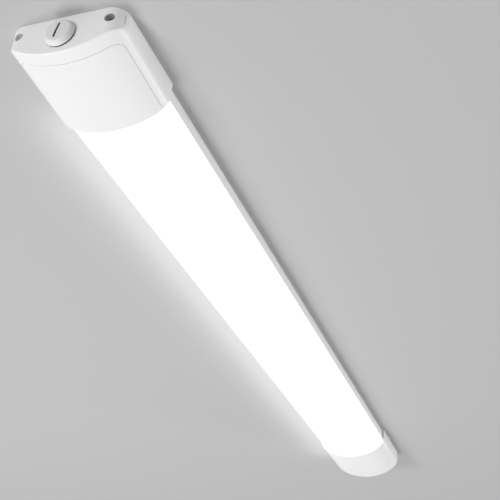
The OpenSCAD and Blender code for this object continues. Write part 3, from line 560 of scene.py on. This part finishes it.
def box_shell(sizes):
    """Outside of the wiring box with the sunk seat of its cover."""
    edge, seam = sizes.edge_radius / MM, sizes.seam_radius / MM
    back, seat_depth, seat_reach, band_steps, seat_steps = 0.6, 3.5, 50, 9, 7
    outer = plan_rail(BOX_HALF, CORNER_RADIUS, 0.0)
    lines = [at_level(plan_rail(BOX_HALF - back, CORNER_RADIUS - back, back), 0.0)]
    lines += rounded(lines[0], at_level(outer, 0.0), at_level(outer, -back), 4)
    lines.append(at_level(outer, -back))
    wall = on_dome(outer, lift=edge)
    inner = on_dome(plan_rail(BOX_HALF - edge, CORNER_RADIUS - edge, edge))
    lines += [wall] + rounded(wall, on_dome(outer), inner, 6) + [inner]
    start = (BOX_HALF - edge, CORNER_RADIUS - edge, edge)
    stop = (COVER_HALF + seam, COVER_RADIUS + seam, COVER_EDGE - seam)
    for k in range(1, band_steps + 1):
        t = k / band_steps
        lines.append(on_dome(plan_rail(*[a + (b - a) * t for a, b in zip(start, stop)])))
    seat = plan_rail(COVER_HALF, COVER_RADIUS, COVER_EDGE)
    low = on_dome(seat, lift=seam)
    lines += rounded(lines[-1], on_dome(seat), low, 3) + [low]
    for k in range(seat_steps + 1):
        t = k / seat_steps
        radius = max(COVER_RADIUS * (1 - t), 0.5)
        plan = plan_rail(COVER_HALF * (1 - t) + t, radius, COVER_EDGE + seat_reach * t)
        lines.append(on_dome(plan, seat_depth))
    return loft(lines)


def body_section(lead=0.0, back_lead=0.0):
    """The body's own section grown by its gap, and opened out by a lead at a socket's mouth."""
    return d_loop(BODY_HALF + BODY_GAP + lead, DOME_DEPTH + BODY_GAP + lead, DOME_POWER, STRIP_DEPTH,
                  -BACK_INSET + BODY_GAP + back_lead)


def screw_tunnels(start, stop):
    """Round walls about the two end screws, between two stations."""
    y, z = END_SCREW
    return [drum(TUNNEL_RADIUS, start, stop, (0, s * y, z), ALONG) for s in (-1, 1)]


def screw_bores(mouth, seat, out):
    """Counterbored holes with softened mouths for the two end screws of an end piece."""
    y, z = END_SCREW
    shank, flare, soft, ahead = 2.2, BORE_RADIUS + 0.4, 0.45, 6
    deep, through = abs(seat - mouth), abs(out - mouth)
    profile = [(0, -ahead), (flare, -ahead), (flare, 0), (BORE_RADIUS, soft), (BORE_RADIUS, deep),
               (shank, deep), (shank, through), (0, through)]
    way = (1 if out > mouth else -1, 0, 0)
    return [turned(profile, (mouth, s * y, z), way) for s in (-1, 1)]


def rear_holes():
    """The cable entry and the two screw holes in the back of the wiring box."""
    entry, screw, flare, spread, ahead, depth = 11.1, 2.5, 2.9, 34.925, 1, 5
    holes = [drum(entry, -ahead, depth, (REAR_SCREWS, 0, 0), INWARD)]
    holes += [flared(screw, flare, 0.4, ahead, depth, (REAR_SCREWS, s * spread, 0), INWARD, 32)
              for s in (-1, 1)]
    return holes


def corner_grooves():
    """The short fine groove on each rounded corner of the wiring box."""
    half_deep, half_wide, half_long, level, angle = 1.2, 0.35, 5.4, -10.4, 115.5
    grooves = []
    for s in (-1, 1):
        cut = block((-half_deep, -half_wide, -half_long), (half_deep, half_wide, half_long))
        corner = (CORNER_RADIUS, s * (BOX_HALF - CORNER_RADIUS), level)
        bmesh.ops.transform(cut, verts=cut.verts, matrix=Matrix.Translation(corner)
                            @ Matrix.Rotation(math.radians(s * angle), 4, "Z")
                            @ Matrix.Translation((CORNER_RADIUS, 0, 0)))
        grooves.append(cut)
    return grooves


class FIXTURE_OT_wiring_box(Operator):
    """Builds the wiring box: shell, plug hub, screw tunnels, cable and screw holes"""
    bl_idname = "fixture.wiring_box"
    bl_label = "Wiring box"

    def execute(self, context):
        hub_radius, plug_bore, flare, hub_start, hub_end, smooth = 15.6, 13.18, 13.7, 2, 14, 64
        margin, mouth_radius, mouth_top, beyond = 6, 5.0, -12.0, -70.0
        lip_length, lip_top, lead_half, lead_low, lead_top = 2.2, -18, 15, -15.15, -6.15
        end_wall, bore_start, screw_seat = 3.4, 0.4, BODY_START - 12.0
        mouth = plan_rail(COVER_HALF - margin, mouth_radius, COVER_EDGE + margin, end=BULKHEAD - margin)
        opening = loft([at_level(mouth, mouth_top), at_level(mouth, beyond)])
        hub = drum(hub_radius, hub_start, hub_end, PLUG_AT, ALONG, smooth)
        tunnels = screw_tunnels(end_wall, BULKHEAD + 1)
        lip = block((BOX_END - lip_length, -COVER_HALF, beyond + 10), (BOX_END + 4, COVER_HALF, lip_top))
        holes = screw_bores(bore_start, screw_seat, BOX_END + 5)
        holes.append(flared(plug_bore, flare, 0.5, 2, hub_end + 2, PLUG_AT, ALONG, smooth))
        lead_way = block((BULKHEAD - 2, -lead_half, lead_low), (BODY_START, lead_half, lead_top))
        body = loft([at_station(body_section(), u) for u in (BULKHEAD + 3, BOX_END + 20)], closed=True)
        bm = combined(box_shell(context.scene.fixture_sizes), [
            ("DIFFERENCE", box_space()), ("DIFFERENCE", body), ("DIFFERENCE", opening),
            ("UNION", together(hub, *tunnels)), ("DIFFERENCE", together(*holes)),
            ("DIFFERENCE", together(lip, lead_way, *rear_holes(), *corner_grooves()))])
        ob = make_piece("wiring_box_shell", bm, "fixture", ["wiring_box"], housing())
        y, z = END_SCREW
        past_mouth, reach = 4, BORE_RADIUS + 0.2
        # Painted shade: the bore walls past their mouths get a darker grey that stands for the shade deep
        # inside the screw holes.
        shade(ob, "Bore painted shade", 0.5,
              lambda p: p.x > past_mouth and math.hypot(p.y + y, p.z - z) < reach)
        return {"FINISHED"}


class FIXTURE_OT_cover(Operator):
    """Builds the domed wiring cover with its softened seam edge, lip and guide tabs"""
    bl_idname = "fixture.cover"
    bl_label = "Wiring cover"

    def execute(self, context):
        sizes = context.scene.fixture_sizes
        gap, seam, skin = sizes.seam_gap / MM, sizes.seam_radius / MM, 2.0
        half, radius, edge = COVER_HALF - gap, COVER_RADIUS - gap, COVER_EDGE + gap
        middle_half, middle_radius, middle_back = 0.6, 0.3, 24
        rings, bunching = 26, 0.8

        def rail(t, sink):
            return on_dome(plan_rail(half * (1 - t) + middle_half * t, radius * (1 - t) + middle_radius * t,
                                     edge + (BOX_END - edge - middle_back) * t), sink)
        lines = [rail(1 - (k / rings) ** bunching, 0) for k in range(rings)]
        rim = on_dome(plan_rail(half - seam, radius - seam, edge + seam))
        border = plan_rail(half, radius, edge)
        lines += [rim] + rounded(rim, on_dome(border), on_dome(border, lift=seam), 3)
        lines += [on_dome(border, lift=seam), on_dome(border, skin)]
        lines += [rail(1 - ((rings - k) / rings) ** bunching, skin) for k in range(1, rings + 1)]
        bm = combined(loft(lines), [("UNION", self.lip(half)), ("UNION", together(*self.tabs()))])
        make_piece("wiring_cover_skin", bm, "cover", ["wiring_cover"], housing())
        return {"FINISHED"}

    def lip(self, half):
        """The thick end of the cover that closes down on the diffuser."""
        steps, sunk, length, short = 48, 0.8, 2, 0.02
        across = [half * (1 - 2 * i / steps) for i in range(steps + 1)]
        sections = []
        for u in (BOX_END - length, BOX_END - short):
            outside = [Vector((u, y, box_dome_z(u, y, sunk))) for y in across]
            inside = [Vector((u, y, dome_z(y, BODY_HALF + BODY_GAP, DOME_DEPTH + BODY_GAP, DOME_POWER)
                              - STRIP_DEPTH)) for y in reversed(across)]
            sections.append(outside + inside)
        return loft(sections, closed=True)

    def tabs(self):
        """Four guide tabs on the inside of the cover."""
        length, half_thick, deep, inset, sunk = 12, 0.8, 7, 7.2, 1.6
        tabs = []
        for u in (COVER_EDGE + 20, BULKHEAD - 28):
            for s in (-1, 1):
                y = s * (COVER_HALF - inset)
                top = box_dome_z(u + length / 2, y, sunk)
                tabs.append(block((u, y - half_thick, top - 0.4), (u + length, y + half_thick, top + deep),
                                  0.3, 2))
        return tabs


class FIXTURE_OT_plug(Operator):
    """Builds the conduit plug: domed head with a coin slot and a threaded shank"""
    bl_idname = "fixture.plug"
    bl_label = "Conduit plug"

    def execute(self, context):
        outward, smooth, face_steps = (-1, 0, 0), 96, 10
        head, face, crown = 7.2, 11.5, 0.75
        shank, shank_end, tip, tip_end, bore, bore_floor = 12.3, -11.2, 11.5, -12.0, 10.9, 0.5
        profile = [(face * i / face_steps, head - crown * (i / face_steps) ** 2)
                   for i in range(face_steps + 1)]
        profile += [(12.0, 6.3), (12.5, 6.0), (13.1, 5.4), (13.9, 4.3), (14.5, 3.0), (14.85, 1.9),
                    (14.7, 1.45), (14.2, 1.25), (13.6, 0.9), (shank, 0.9)]
        profile += [(shank, shank_end), (tip, tip_end), (bore, tip_end), (bore, bore_floor), (0, bore_floor)]
        body = turned(profile, PLUG_AT, outward, smooth)
        half_wide, half_long, slot_deep, off_centre, tilt = 1.2, 8.3, 4.0, 0.6, math.radians(12)
        slot_at = Vector((0, off_centre, PLUG_AT[2]))
        slot = block((-head - 1, -half_wide, -half_long), (-head + slot_deep, half_wide, half_long), 0.25, 2)
        bmesh.ops.transform(slot, verts=slot.verts,
                            matrix=Matrix.Translation(slot_at) @ Matrix.Rotation(tilt, 4, "X"))
        root, crest, pitch, turns = 12.1, 13.05, 1.81, 5.5
        ridge = thread(root, crest, pitch, turns, (-shank_end, 0, PLUG_AT[2]), outward)
        bm = combined(body, [("DIFFERENCE", slot), ("UNION", ridge)])
        mat = surface("Plug plastic", context.scene.fixture_finishes.plug, rough=(0.4, 0.5))
        ob = make_piece("conduit_plug_body", bm, "plug", ["conduit_plug"], mat, 30)
        upright = Matrix.Rotation(-tilt, 4, "X")
        near = 0.02

        def in_slot(p):
            local = upright @ (p - slot_at)
            return p.x < -3 and abs(local.y) < half_wide + near and abs(local.z) < half_long + near
        # Painted shade: the coin slot's walls get a darker grey that stands for the shade inside the slot.
        shade(ob, "Slot painted shade", 0.3, in_slot)
        return {"FINISHED"}


class FIXTURE_OT_diffuser(Operator):
    """Builds the lit opal diffuser"""
    bl_idname = "fixture.diffuser"
    bl_label = "Diffuser"

    def execute(self, context):
        finish = context.scene.fixture_finishes
        wall, tongue_in, tongue_out, tongue_top = 1.8, 53.55, 54.75, -STRIP_DEPTH + 5.6
        arc_steps, length_steps = 96, 8
        outer = dome_arc(BODY_HALF, DOME_DEPTH, DOME_POWER, STRIP_DEPTH, arc_steps)
        inner = [(y * (BODY_HALF - wall) / BODY_HALF,
                  (z + STRIP_DEPTH) * (DOME_DEPTH - wall) / DOME_DEPTH - STRIP_DEPTH) for y, z in outer]
        inner = [p for p in inner if abs(p[0]) < tongue_in]
        tongue = [(tongue_in, -STRIP_DEPTH), (tongue_in, tongue_top), (tongue_out, tongue_top),
                  (tongue_out, -STRIP_DEPTH)]
        section = tongue + outer + [(-y, z) for y, z in reversed(tongue)] + list(reversed(inner))
        stations = [BODY_START + (BODY_END - BODY_START) * i / length_steps for i in range(length_steps + 1)]
        bm = loft([at_station(section, u) for u in stations], closed=True)
        mat = surface("Opal diffuser", finish.opal, grain=700, mottle=0.3, rough=(0.32, 0.42), bump=0.02,
                      glow=finish.glow)
        make_piece("diffuser_lens", bm, "fixture", ["diffuser"], mat)
        return {"FINISHED"}


class FIXTURE_OT_side_strip(Operator):
    """Builds the extruded base channel whose sides show as the opaque strip"""
    bl_idname = "fixture.side_strip"
    bl_label = "Base channel"

    def execute(self, context):
        finish = context.scene.fixture_finishes
        chamfer, skin, groove, groove_deep, web, softening = 1, 1.1, 1.5, 6.0, 1.1, 0.3
        port_out, port_low, port_in, ledge, slot_end = 49.9, -16.1, 44.0, 39.4, 43.0
        floor, slot_top, slot_low, lip = -4.0, -14.0, -15.0, 1.2
        back, low, groove_in = -BACK_INSET, -STRIP_DEPTH, BODY_HALF - skin - groove
        half = [(BODY_HALF - chamfer, back), (BODY_HALF, back - chamfer), (BODY_HALF, low),
                (BODY_HALF - skin, low), (BODY_HALF - skin, low + groove_deep),
                (groove_in, low + groove_deep), (groove_in, low + 0.2), (groove_in - web, low + 0.2),
                (groove_in - web, floor), (port_out, floor), (port_out, port_low),
                (ledge, slot_low - lip), (ledge, slot_low), (slot_end, slot_low), (slot_end, slot_top),
                (ledge, slot_top), (ledge, slot_top + lip), (port_in, slot_top + lip), (port_in, floor)]
        section = half + [(-y, z) for y, z in reversed(half)]
        bm = loft([at_station(section, BODY_START), at_station(section, BODY_END)], closed=True)
        outside = BODY_HALF - chamfer - 0.05
        long_edges = [e for e in bm.edges if abs(e.verts[0].co.x - e.verts[1].co.x) > 1
                      and e.calc_face_angle(0) > 0.3 and abs(e.verts[0].co.y) > outside]
        bmesh.ops.bevel(bm, geom=long_edges, offset=softening, segments=3, affect="EDGES", profile=0.5,
                        material=-1)
        mat = surface("Strip plastic", finish.strip, stretch=(0.05, 1, 1), mottle=0.8, rough=(0.42, 0.55))
        make_piece("base_channel_extrusion", bm, "fixture", ["base_channel"], mat, 30)
        return {"FINISHED"}


def cap_section(inset=0.0, top=0.0, corner=0.6):
    """Outer section of the closed cap, sunk by an inset."""
    return d_loop(BOX_HALF - inset, DOME_DEPTH + 3.3 - inset, BOX_DOME_POWER, STRIP_DEPTH, top,
                  corner=corner)


class FIXTURE_OT_end_cap(Operator):
    """Builds the closed end cap with its socket, keyhole pocket and screw holes"""
    bl_idname = "fixture.end_cap"
    bl_label = "Closed cap"

    def execute(self, context):
        radius = context.scene.fixture_sizes.cap_radius / MM
        floor, lead, rim, rim_back, rim_lines = BODY_END + 2, 0.3, 0.5, 0.3, 4
        back_share, edge_lines, end_wall = 0.4, 7, 3
        lines = [at_station(body_section(), floor), at_station(body_section(), CAP_START + lead),
                 at_station(body_section(lead, 0.2), CAP_START)]
        for k in range(rim_lines):
            a = math.pi / 2 * k / (rim_lines - 1)
            share = 1 - math.sin(a)
            lines.append(at_station(cap_section(rim * share, -rim_back * share),
                                    CAP_START + rim * (1 - math.cos(a))))
        for k in range(edge_lines):
            a = math.pi / 2 * k / (edge_lines - 1)
            sunk = radius * (1 - math.cos(a))
            lines.append(at_station(cap_section(sunk, -back_share * sunk),
                                    CAP_END - radius * (1 - math.sin(a))))
        space = cap_section(HOUSING_WALL, -end_wall, 0.1)
        hollow = loft([at_station(space, u) for u in (floor + end_wall, CAP_END - end_wall)], closed=True)
        tunnels = together(*screw_tunnels(floor + 1, CAP_END - 1))
        openings = together(*screw_bores(CAP_END, floor + 10, floor - 3), *self.windows(floor))
        bm = combined(loft(lines, closed=True), [("DIFFERENCE", hollow), ("UNION", tunnels),
                                                 *self.keyhole(), ("DIFFERENCE", openings)])
        make_piece("end_cap_shell", bm, "fixture", ["end_cap"], housing())
        return {"FINISHED"}

    def keyhole(self):
        """Steps that wall in the keyhole pocket, hollow it and open it to the back."""
        neck = CAP_END - 22.0
        entry = neck - 11.0
        head_radius, neck_radius, half_wall, half_room = 5, 2.4, 9, 7
        wall = block((entry - half_wall, -half_wall, -12), (entry + 20, half_wall, -2.5))
        room = block((entry - half_room, -half_room, -10), (entry + 18, half_room, -3))
        head = drum(head_radius, -1, 4, (entry, 0, 0), INWARD, 40)
        slit = block((entry, -neck_radius, -4), (neck, neck_radius, 1))
        round_end = drum(neck_radius, -1, 4, (neck, 0, 0), INWARD, 32)
        return [("UNION", wall)] + [("DIFFERENCE", cut) for cut in (room, head, slit, round_end)]

    def windows(self, floor):
        """The two openings in the cap's back."""
        inner, outer, start, stop, deep = 13, 35, floor + 9, CAP_END - 13, 4
        return [block((start, min(s * inner, s * outer), -deep), (stop, max(s * inner, s * outer), 1))
                for s in (-1, 1)]


def cad_solid(node):
    """A merged copy of a CAD node's mesh, in millimetres from the end face."""
    bm = bmesh.new()
    bm.from_mesh(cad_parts[node].data)
    bmesh.ops.transform(bm, verts=bm.verts, matrix=Matrix.Scale(1 / MM, 4)
                        @ Matrix.Translation((-END_FACE, 0, 0)))
    bmesh.ops.remove_doubles(bm, verts=bm.verts, dist=1e-3)
    return bm


def softened(node, body, material, width):
    """A finished copy of a CAD node with its sharp edges rounded off."""
    bm = cad_solid(node)
    bmesh.ops.dissolve_limit(bm, angle_limit=math.radians(0.5), verts=bm.verts, edges=bm.edges)
    sharp = [e for e in bm.edges if e.calc_face_angle(0) > math.radians(40)]
    bmesh.ops.bevel(bm, geom=sharp, offset=width, segments=2, affect="EDGES", profile=0.5, material=-1,
                    clamp_overlap=True)
    return make_piece(node + "_soft", bm, body, [node], material, 50)


def smooth_lead(node, material):
    """A round insulated lead along the middle line of its CAD node."""
    radius, sides = 1.3, 20
    rings = {}
    for v in cad_solid(node).verts:
        rings.setdefault(round(v.co.x, 2), []).append(v.co.copy())
    middle = [sum(ring, Vector()) / len(ring) for _, ring in sorted(rings.items())]
    turns = [2 * math.pi * i / sides for i in range(sides)]
    lines = [[p + Vector((0, radius * math.cos(a), radius * math.sin(a))) for a in turns] for p in middle]
    return make_piece(node + "_round", loft(lines, closed=True), "fixture", [node], material, 50)


class FIXTURE_OT_seals(Operator):
    """Builds the rubber seals and the cable grommet"""
    bl_idname = "fixture.seals"
    bl_label = "Seals and grommet"

    def execute(self, context):
        for node, body in (("cover_seal", "fixture"), ("plug_seal", "plug_carrier"),
                           ("cable_grommet", "fixture"), ("lead_seal", "fixture"),
                           ("near_end_seal", "fixture"), ("far_end_seal", "fixture")):
            softened(node, body, rubber(), 0.15)
        return {"FINISHED"}


class FIXTURE_OT_terminals(Operator):
    """Builds the terminal block, its contacts and buttons, the leads and the earth tag"""
    bl_idname = "fixture.terminals"
    bl_label = "Terminals and leads"

    def execute(self, context):
        brass, zinc = brushed("Contact brass", (0.75, 0.6, 0.3)), screw_zinc()
        block_plastic = surface("Terminal plastic", (0.72, 0.72, 0.68))
        softened("terminal_block", "fixture", block_plastic, 0.3)
        softened("terminal_contacts", "fixture", brass, 0.1)
        softened("terminal_screws", "fixture", zinc, 0.12)
        tints = {"line": ("Black", (0.03, 0.03, 0.035)), "neutral": ("White", (0.75, 0.75, 0.75)),
                 "earth": ("Green", (0.04, 0.3, 0.07))}
        for pole, (tint, color) in tints.items():
            softened(pole + "_button", pole + "_release", surface(tint + " button", color),
                     0.25)
            smooth_lead(pole + "_lead", insulation(tint, color))
        smooth_lead("positive_lead", insulation("Red", (0.5, 0.03, 0.025)))
        smooth_lead("negative_lead", insulation(*tints["line"]))
        softened("earth_tag", "fixture", brass, 0.12)
        softened("earth_screw", "fixture", brushed("Green screw", (0.05, 0.3, 0.1)),
                 0.2)
        for node in ("near_end_screws", "far_end_screws"):
            softened(node, "fixture", zinc, 0.2)
        return {"FINISHED"}


class FIXTURE_OT_gear(Operator):
    """Builds the gear tray, the light boards with their chips and the driver"""
    bl_idname = "fixture.gear"
    bl_label = "Tray, light boards and driver"

    def execute(self, context):
        zinc, sheet = screw_zinc(), brushed("Driver sheet", (0.62, 0.63, 0.65))
        mask = surface("Light board mask", (0.85, 0.85, 0.8))
        chip = surface("Chip phosphor", (0.85, 0.65, 0.12))
        pieces = [("led_tray", surface("Tray paint", (0.85, 0.85, 0.83)), "tray_paint", 0.15)]
        for row in "abcd":
            pieces += [("light_board_" + row, mask, "board_white", 0.08),
                       ("chips_" + row, chip, "chip_phosphor", 0.1)]
        pieces += [
            ("board_screws", zinc, "screw_steel", 0.15),
            ("board_connectors", surface("Connector plastic", (0.82, 0.82, 0.8)), "connector_white", 0.25),
            ("driver_case", sheet, "driver_sheet", 0.12),
            ("driver_lid", sheet, "driver_sheet", 0.12),
            ("driver_board", surface("Circuit board", (0.02, 0.13, 0.05)), "circuit_green", 0.1),
            ("driver_transformer", surface("Transformer tape", (0.7, 0.5, 0.05)), "transformer_tape", 0.3),
            ("driver_capacitors", surface("Capacitor sleeve", (0.02, 0.03, 0.12)), "capacitor_sleeve", 0.4),
            ("driver_choke", surface("Choke winding", (0.45, 0.17, 0.06), metallic=0.7), "choke_copper", 0.8),
            ("driver_heat_sink", brushed("Heat sink", (0.6, 0.61, 0.63)), "heat_sink_metal", 0.1),
            ("driver_screws", zinc, "screw_steel", 0.2)]
        for node, material, slot, width in pieces:
            softened(node, "fixture", material, width)
        return {"FINISHED"}


def backdrop_paint(name, color, lets_light_in):
    """Paint that shows from the fixture's side only; where it lets light in, only the camera sees it."""
    mat = bpy.data.materials.new(name)
    mat.use_nodes = True
    nodes, links = mat.node_tree.nodes, mat.node_tree.links
    paint = nodes["Principled BSDF"]
    paint.inputs["Base Color"].default_value = (*color, 1)
    paint.inputs["Roughness"].default_value = 0.9
    clear = nodes.new("ShaderNodeBsdfTransparent")
    side = nodes.new("ShaderNodeNewGeometry")
    one_sided = nodes.new("ShaderNodeMixShader")
    links.new(side.outputs["Backfacing"], one_sided.inputs["Fac"])
    links.new(paint.outputs["BSDF"], one_sided.inputs[1])
    links.new(clear.outputs["BSDF"], one_sided.inputs[2])
    last = one_sided
    if lets_light_in:
        path = nodes.new("ShaderNodeLightPath")
        last = nodes.new("ShaderNodeMixShader")
        links.new(path.outputs["Is Camera Ray"], last.inputs["Fac"])
        links.new(clear.outputs["BSDF"], last.inputs[1])
        links.new(one_sided.outputs["Shader"], last.inputs[2])
    links.new(last.outputs["Shader"], nodes["Material Output"].inputs["Surface"])
    return mat


def build_backdrop(studio):
    """A ceiling sheet whose part right behind the fixture lets light through to the fixture's back."""
    middle, reach, behind, shaded_edge = (2.0, 1.0), 24.0, 0.0003, 1.0
    bm = bmesh.new()
    bmesh.ops.create_grid(bm, x_segments=1, y_segments=1, size=reach,
                          matrix=Matrix.Translation((*middle, behind)))
    bmesh.ops.reverse_faces(bm, faces=bm.faces)
    start, stop = END_FACE, CAD_BOX[1][0]
    body_start, body_stop = END_FACE + BOX_END * MM, END_FACE + CAP_START * MM
    wide, narrow = BOX_HALF * MM, (BODY_HALF - shaded_edge) * MM
    cuts = [((x, 0, 0), (1, 0, 0)) for x in (start, body_start, body_stop, stop)]
    cuts += [((0, s * y, 0), (0, 1, 0)) for y in (wide, narrow) for s in (-1, 1)]
    for at, across in cuts:
        bmesh.ops.bisect_plane(bm, geom=bm.verts[:] + bm.edges[:] + bm.faces[:],
                               plane_co=at, plane_no=across)
    for f in bm.faces:
        x, y, _ = f.calc_center_median()
        half = narrow if body_start < x < body_stop else wide
        f.material_index = int(start < x < stop and abs(y) < half)
    mesh = bpy.data.meshes.new("backdrop")
    bm.to_mesh(mesh)
    bm.free()
    backdrop = bpy.data.objects.new("backdrop", mesh)
    bpy.context.scene.collection.objects.link(backdrop)
    mesh.materials.append(backdrop_paint("Backdrop paint", studio.backdrop, False))
    mesh.materials.append(backdrop_paint("Backdrop behind the fixture", studio.backdrop, True))
    return backdrop


def build_sky(scene, studio):
    """Even light, and a grey of its own where the camera, a gloss or glass sees past the backdrop."""
    world = bpy.data.worlds.new("Studio")
    world.use_nodes = True
    scene.world = world
    nodes, links = world.node_tree.nodes, world.node_tree.links
    sky, seen = nodes["Background"], nodes.new("ShaderNodeBackground")
    for shader, strength in ((sky, studio.sky), (seen, studio.beyond)):
        shader.inputs["Color"].default_value = (1, 1, 1, 1)
        shader.inputs["Strength"].default_value = strength
    path = nodes.new("ShaderNodeLightPath")
    direct, either = nodes.new("ShaderNodeMath"), nodes.new("ShaderNodeMath")
    direct.operation = either.operation = "MAXIMUM"
    links.new(path.outputs["Is Camera Ray"], direct.inputs[0])
    links.new(path.outputs["Is Glossy Ray"], direct.inputs[1])
    links.new(direct.outputs["Value"], either.inputs[0])
    links.new(path.outputs["Is Transmission Ray"], either.inputs[1])
    pick = nodes.new("ShaderNodeMixShader")
    links.new(either.outputs["Value"], pick.inputs["Fac"])
    links.new(sky.outputs["Background"], pick.inputs[1])
    links.new(seen.outputs["Background"], pick.inputs[2])
    links.new(pick.outputs["Shader"], nodes["World Output"].inputs["Surface"])


def add_lamp(name, place, aim, size, power, length=None):
    """An area lamp at a place, aimed at a point, as long as it is wide or longer along the fixture."""
    data = bpy.data.lights.new(name, "AREA")
    data.shape, data.size, data.size_y, data.energy = "RECTANGLE", length or size, size, power
    ob = bpy.data.objects.new(name, data)
    bpy.context.scene.collection.objects.link(ob)
    back = (Vector(place) - Vector(aim)).normalized()
    up = back.cross(Vector(ALONG)).normalized()
    along = up.cross(back).normalized()
    turn = Matrix((along, back.cross(along), back)).transposed()
    ob.matrix_world = Matrix.Translation(place) @ turn.to_4x4()
    return ob


def add_distant(name, toward, strength):
    """A soft distant light that shines along a direction."""
    data = bpy.data.lights.new(name, "SUN")
    data.energy, data.angle = strength, math.radians(15)
    ob = bpy.data.objects.new(name, data)
    bpy.context.scene.collection.objects.link(ob)
    ob.matrix_world = Vector(toward).to_track_quat("-Z", "Y").to_matrix().to_4x4()


def light_fixture(studio, backdrop):
    """Places the lamps, in metres; the halo lights only the backdrop."""
    add_lamp("key", (0.2, 1.2, -3.0), (0.3, 0, 0), 1.3, studio.key)
    add_distant("side", (-0.9, 1.0, 0.12), studio.side)
    add_distant("end", (2.1, -1.0, 1.0), studio.end)
    add_lamp("back", (0.55, 0.3, 1.6), (0.55, 0, 0), 1.0, studio.back)
    halo = add_lamp("halo", (0.62, 0.078, -0.04), (0.62, 0.078, 0), 0.02, studio.halo, 1.08)
    lit = bpy.data.collections.new("Lit by the halo")
    lit.objects.link(backdrop)
    halo.light_linking.receiver_collection = lit


def add_camera(scene):
    """The photograph's viewpoint, found from its straight edges and round outlines."""
    place, aim, roll = Vector((-0.5292, -0.394, -0.5876)), Vector((0.38175, -0.02906, 0)), 4.832
    focal_pixels, picture_pixels, sensor = 905.73, 500, 36.0
    camera = bpy.data.cameras.new("camera")
    camera.sensor_width = sensor
    camera.lens = focal_pixels / picture_pixels * sensor
    camera.clip_start, camera.clip_end = 0.01, 50
    ob = bpy.data.objects.new("camera", camera)
    scene.collection.objects.link(ob)
    turn = (aim - place).to_track_quat("-Z", "Y").to_matrix().to_4x4()
    ob.matrix_world = Matrix.Translation(place) @ turn @ Matrix.Rotation(math.radians(roll), 4, "Z")
    scene.camera = ob


class FIXTURE_OT_stage(Operator):
    """Builds the backdrop, the lamps, the sky and the camera"""
    bl_idname = "fixture.stage"
    bl_label = "Stage"

    def execute(self, context):
        scene, studio = context.scene, context.scene.fixture_studio
        backdrop = build_backdrop(studio)
        build_sky(scene, studio)
        light_fixture(studio, backdrop)
        add_camera(scene)
        scene.view_settings.view_transform = "Standard"
        return {"FINISHED"}


class FIXTURE_PT_panel(Panel):
    """Lists the fixture's sizes, finishes and build steps"""
    bl_idname = "FIXTURE_PT_panel"
    bl_label = "Fixture"
    bl_space_type = "VIEW_3D"
    bl_region_type = "UI"
    bl_category = "Fixture"

    def draw(self, context):
        for group in ("fixture_sizes", "fixture_finishes", "fixture_studio"):
            values = getattr(context.scene, group)
            for key in values.__annotations__:
                self.layout.prop(values, key)
        for step in STEPS:
            self.layout.operator(step.bl_idname)


GROUPS = {"fixture_sizes": FixtureSizes, "fixture_finishes": FixtureFinishes,
          "fixture_studio": FixtureStudio}
STEPS = (FIXTURE_OT_stage, FIXTURE_OT_diffuser, FIXTURE_OT_side_strip, FIXTURE_OT_wiring_box,
         FIXTURE_OT_cover, FIXTURE_OT_plug, FIXTURE_OT_end_cap, FIXTURE_OT_seals,
         FIXTURE_OT_terminals, FIXTURE_OT_gear)


def register():
    """Makes the groups, operators and panel known to Blender."""
    for cls in (*GROUPS.values(), *STEPS, FIXTURE_PT_panel):
        bpy.utils.register_class(cls)
    for name, cls in GROUPS.items():
        setattr(bpy.types.Scene, name, PointerProperty(type=cls))


def unregister():
    """Takes them away again."""
    for name in GROUPS:
        delattr(bpy.types.Scene, name)
    for cls in reversed((*GROUPS.values(), *STEPS, FIXTURE_PT_panel)):
        bpy.utils.unregister_class(cls)


def main():
    """Builds the fixture and its stage."""
    register()
    for step in STEPS:
        category, name = step.bl_idname.split(".")
        getattr(getattr(bpy.ops, category), name)()


if __name__ == "__main__":
    main()
